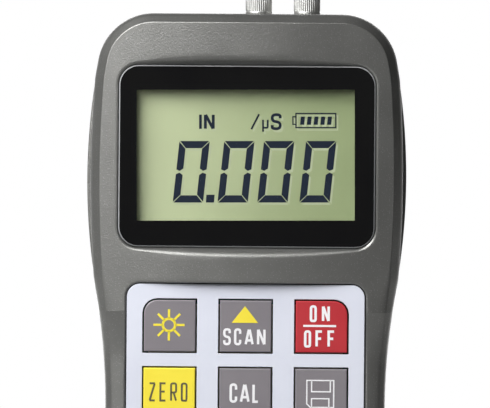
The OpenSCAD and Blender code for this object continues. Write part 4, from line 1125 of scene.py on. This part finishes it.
def makeFloor():
    # a pale round floor that fades into the white background; shadows stay near the gauge
    a = np.linspace(0, 2 * np.pi, 96, endpoint=False)
    radii = np.array([0.001, 0.1, 0.2, 0.4, ground["radius"]])[:, None]
    rings = np.stack([radii * np.cos(a), radii * np.sin(a), np.zeros((len(radii), 96))], -1)
    points, quads = bandBetween(rings)
    mesh = bpy.data.meshes.new("floor")
    mesh.from_pydata(points.tolist(), [], quads[:, ::-1].tolist())
    floor = addObject("floor", mesh)
    tree, shader, vector = startFinish("paleFloor", Roughness=0.9, Specular_IOR_Level=0.1)
    # metal and glass see it pale near the gauge and behind it; far in front the studio is dark
    white = addNode(tree, "Emission", in_Color=(1, 1, 1, 1), in_Strength=1.0).outputs[0]
    length = addNode(tree, "VectorMath", operation="LENGTH", in_0=vector).outputs["Value"]
    y = addNode(tree, "SeparateXYZ", in_0=vector).outputs[1]
    fade = spreadNode(tree, length, ground["fadeFrom"], ground["fadeTo"])
    behind = spreadNode(tree, y, 0.0, 0.12)
    near = spreadNode(tree, length, 0.2, 0.4, ground["mirrored"], 0.0)
    path = addNode(tree, "LightPath").outputs
    mirrored = mathNode(tree, "MAXIMUM", path["Is Glossy Ray"], path["Is Transmission Ray"])
    nearSeen = product(tree, mirrored, mathNode(tree, "MAXIMUM", behind, near))
    farSeen = product(tree, mirrored, behind)
    share = mathNode(tree, "MAXIMUM", path["Is Camera Ray"], nearSeen)
    dark, pale = [(tone, tone, tone, 1) for tone in (ground["dark"], ground["pale"])]
    feed(tree, shader["Base Color"], mixColour(tree, share, dark, pale))
    glow = product(tree, fade, mathNode(tree, "MAXIMUM", path["Is Camera Ray"], farSeen))
    surface = mixShader(tree, glow, tree.nodes["Principled BSDF"].outputs[0], white)
    feed(tree, tree.nodes["Material Output"].inputs["Surface"], surface)
    mesh.materials.append(materials["paleFloor"])


def makeWorld():
    # white where the camera looks; metal and glass show that white behind the gauge, and dimness before it
    world = bpy.data.worlds.new("studio")
    bpy.context.scene.world = world
    world.use_nodes = True
    tree = world.node_tree
    ambient = tree.nodes["Background"]
    ambient.inputs[0].default_value = (0.95, 0.97, 1.0, 1)
    ambient.inputs[1].default_value = 0.04
    path = addNode(tree, "LightPath").outputs
    direction = addNode(tree, "TexCoord").outputs["Generated"]
    y = addNode(tree, "SeparateXYZ", in_0=direction).outputs[1]
    behind = spreadNode(tree, y, 0.7, 1.0, 0.04, 1.0, smooth=True)
    white, seen = [addNode(tree, "Background", in_Color=(1, 1, 1, 1), in_Strength=strength).outputs[0]
                   for strength in (1.0, behind)]
    mirrored = mathNode(tree, "MAXIMUM", path["Is Glossy Ray"], path["Is Transmission Ray"])
    glossy = mixShader(tree, mirrored, ambient.outputs[0], seen)
    surface = mixShader(tree, path["Is Camera Ray"], glossy, white)
    feed(tree, tree.nodes["World Output"].inputs["Surface"], surface)


view = {"frameWidth": 113.4, "distance": 1900.0, "planeY": -7.0, "middleX": -0.37, "middleZ": 106.1,
        "roll": -0.45, "sensor": 36}
softboxes = {  # azimuth (0 is in front), elevation, distance, side and power of each soft light
    "stripLight": (-18, 16, 0.6, 0.16, 0.32), "wideLight": (-40, 41, 0.6, 0.5, 6.85),
    "sideLight": (-60, 20, 0.6, 0.4, 0.35), "backLight": (180, 4, 0.9, 0.6, 5.5),
    "backSideLight": (240, 12, 0.9, 0.5, 0.2)}


def addSoftbox(name, azimuth, elevation, distance, side, power):
    # a square soft light that looks at the middle of the head
    a, e = math.radians(azimuth), math.radians(elevation)
    away = Vector((math.sin(a) * math.cos(e), -math.cos(a) * math.cos(e), math.sin(e))) * distance
    data = bpy.data.lights.new(name, "AREA")
    data.size = side
    data.energy = power
    light = addObject(name, data)
    light.location = away + Vector((0, 0, view["middleZ"] * mm))
    light.rotation_euler = (-away).to_track_quat("-Z", "Y").to_euler()
    light.visible_camera = False


def makeCamera():
    data = bpy.data.cameras.new("camera")
    data.sensor_width = view["sensor"]
    data.lens = view["sensor"] * view["distance"] / view["frameWidth"]
    data.clip_end = 50
    camera = addObject("camera", data)
    camera.location = Vector((view["middleX"], view["planeY"] - view["distance"], view["middleZ"])) * mm
    camera.rotation_euler = (math.radians(90), math.radians(view["roll"]), 0)
    bpy.context.scene.camera = camera


makeFloor()
makeWorld()
for lightName, values in softboxes.items():
    addSoftbox(lightName, *values)
makeCamera()
bpy.context.scene.view_settings.view_transform = "Standard"

print("scene ready")
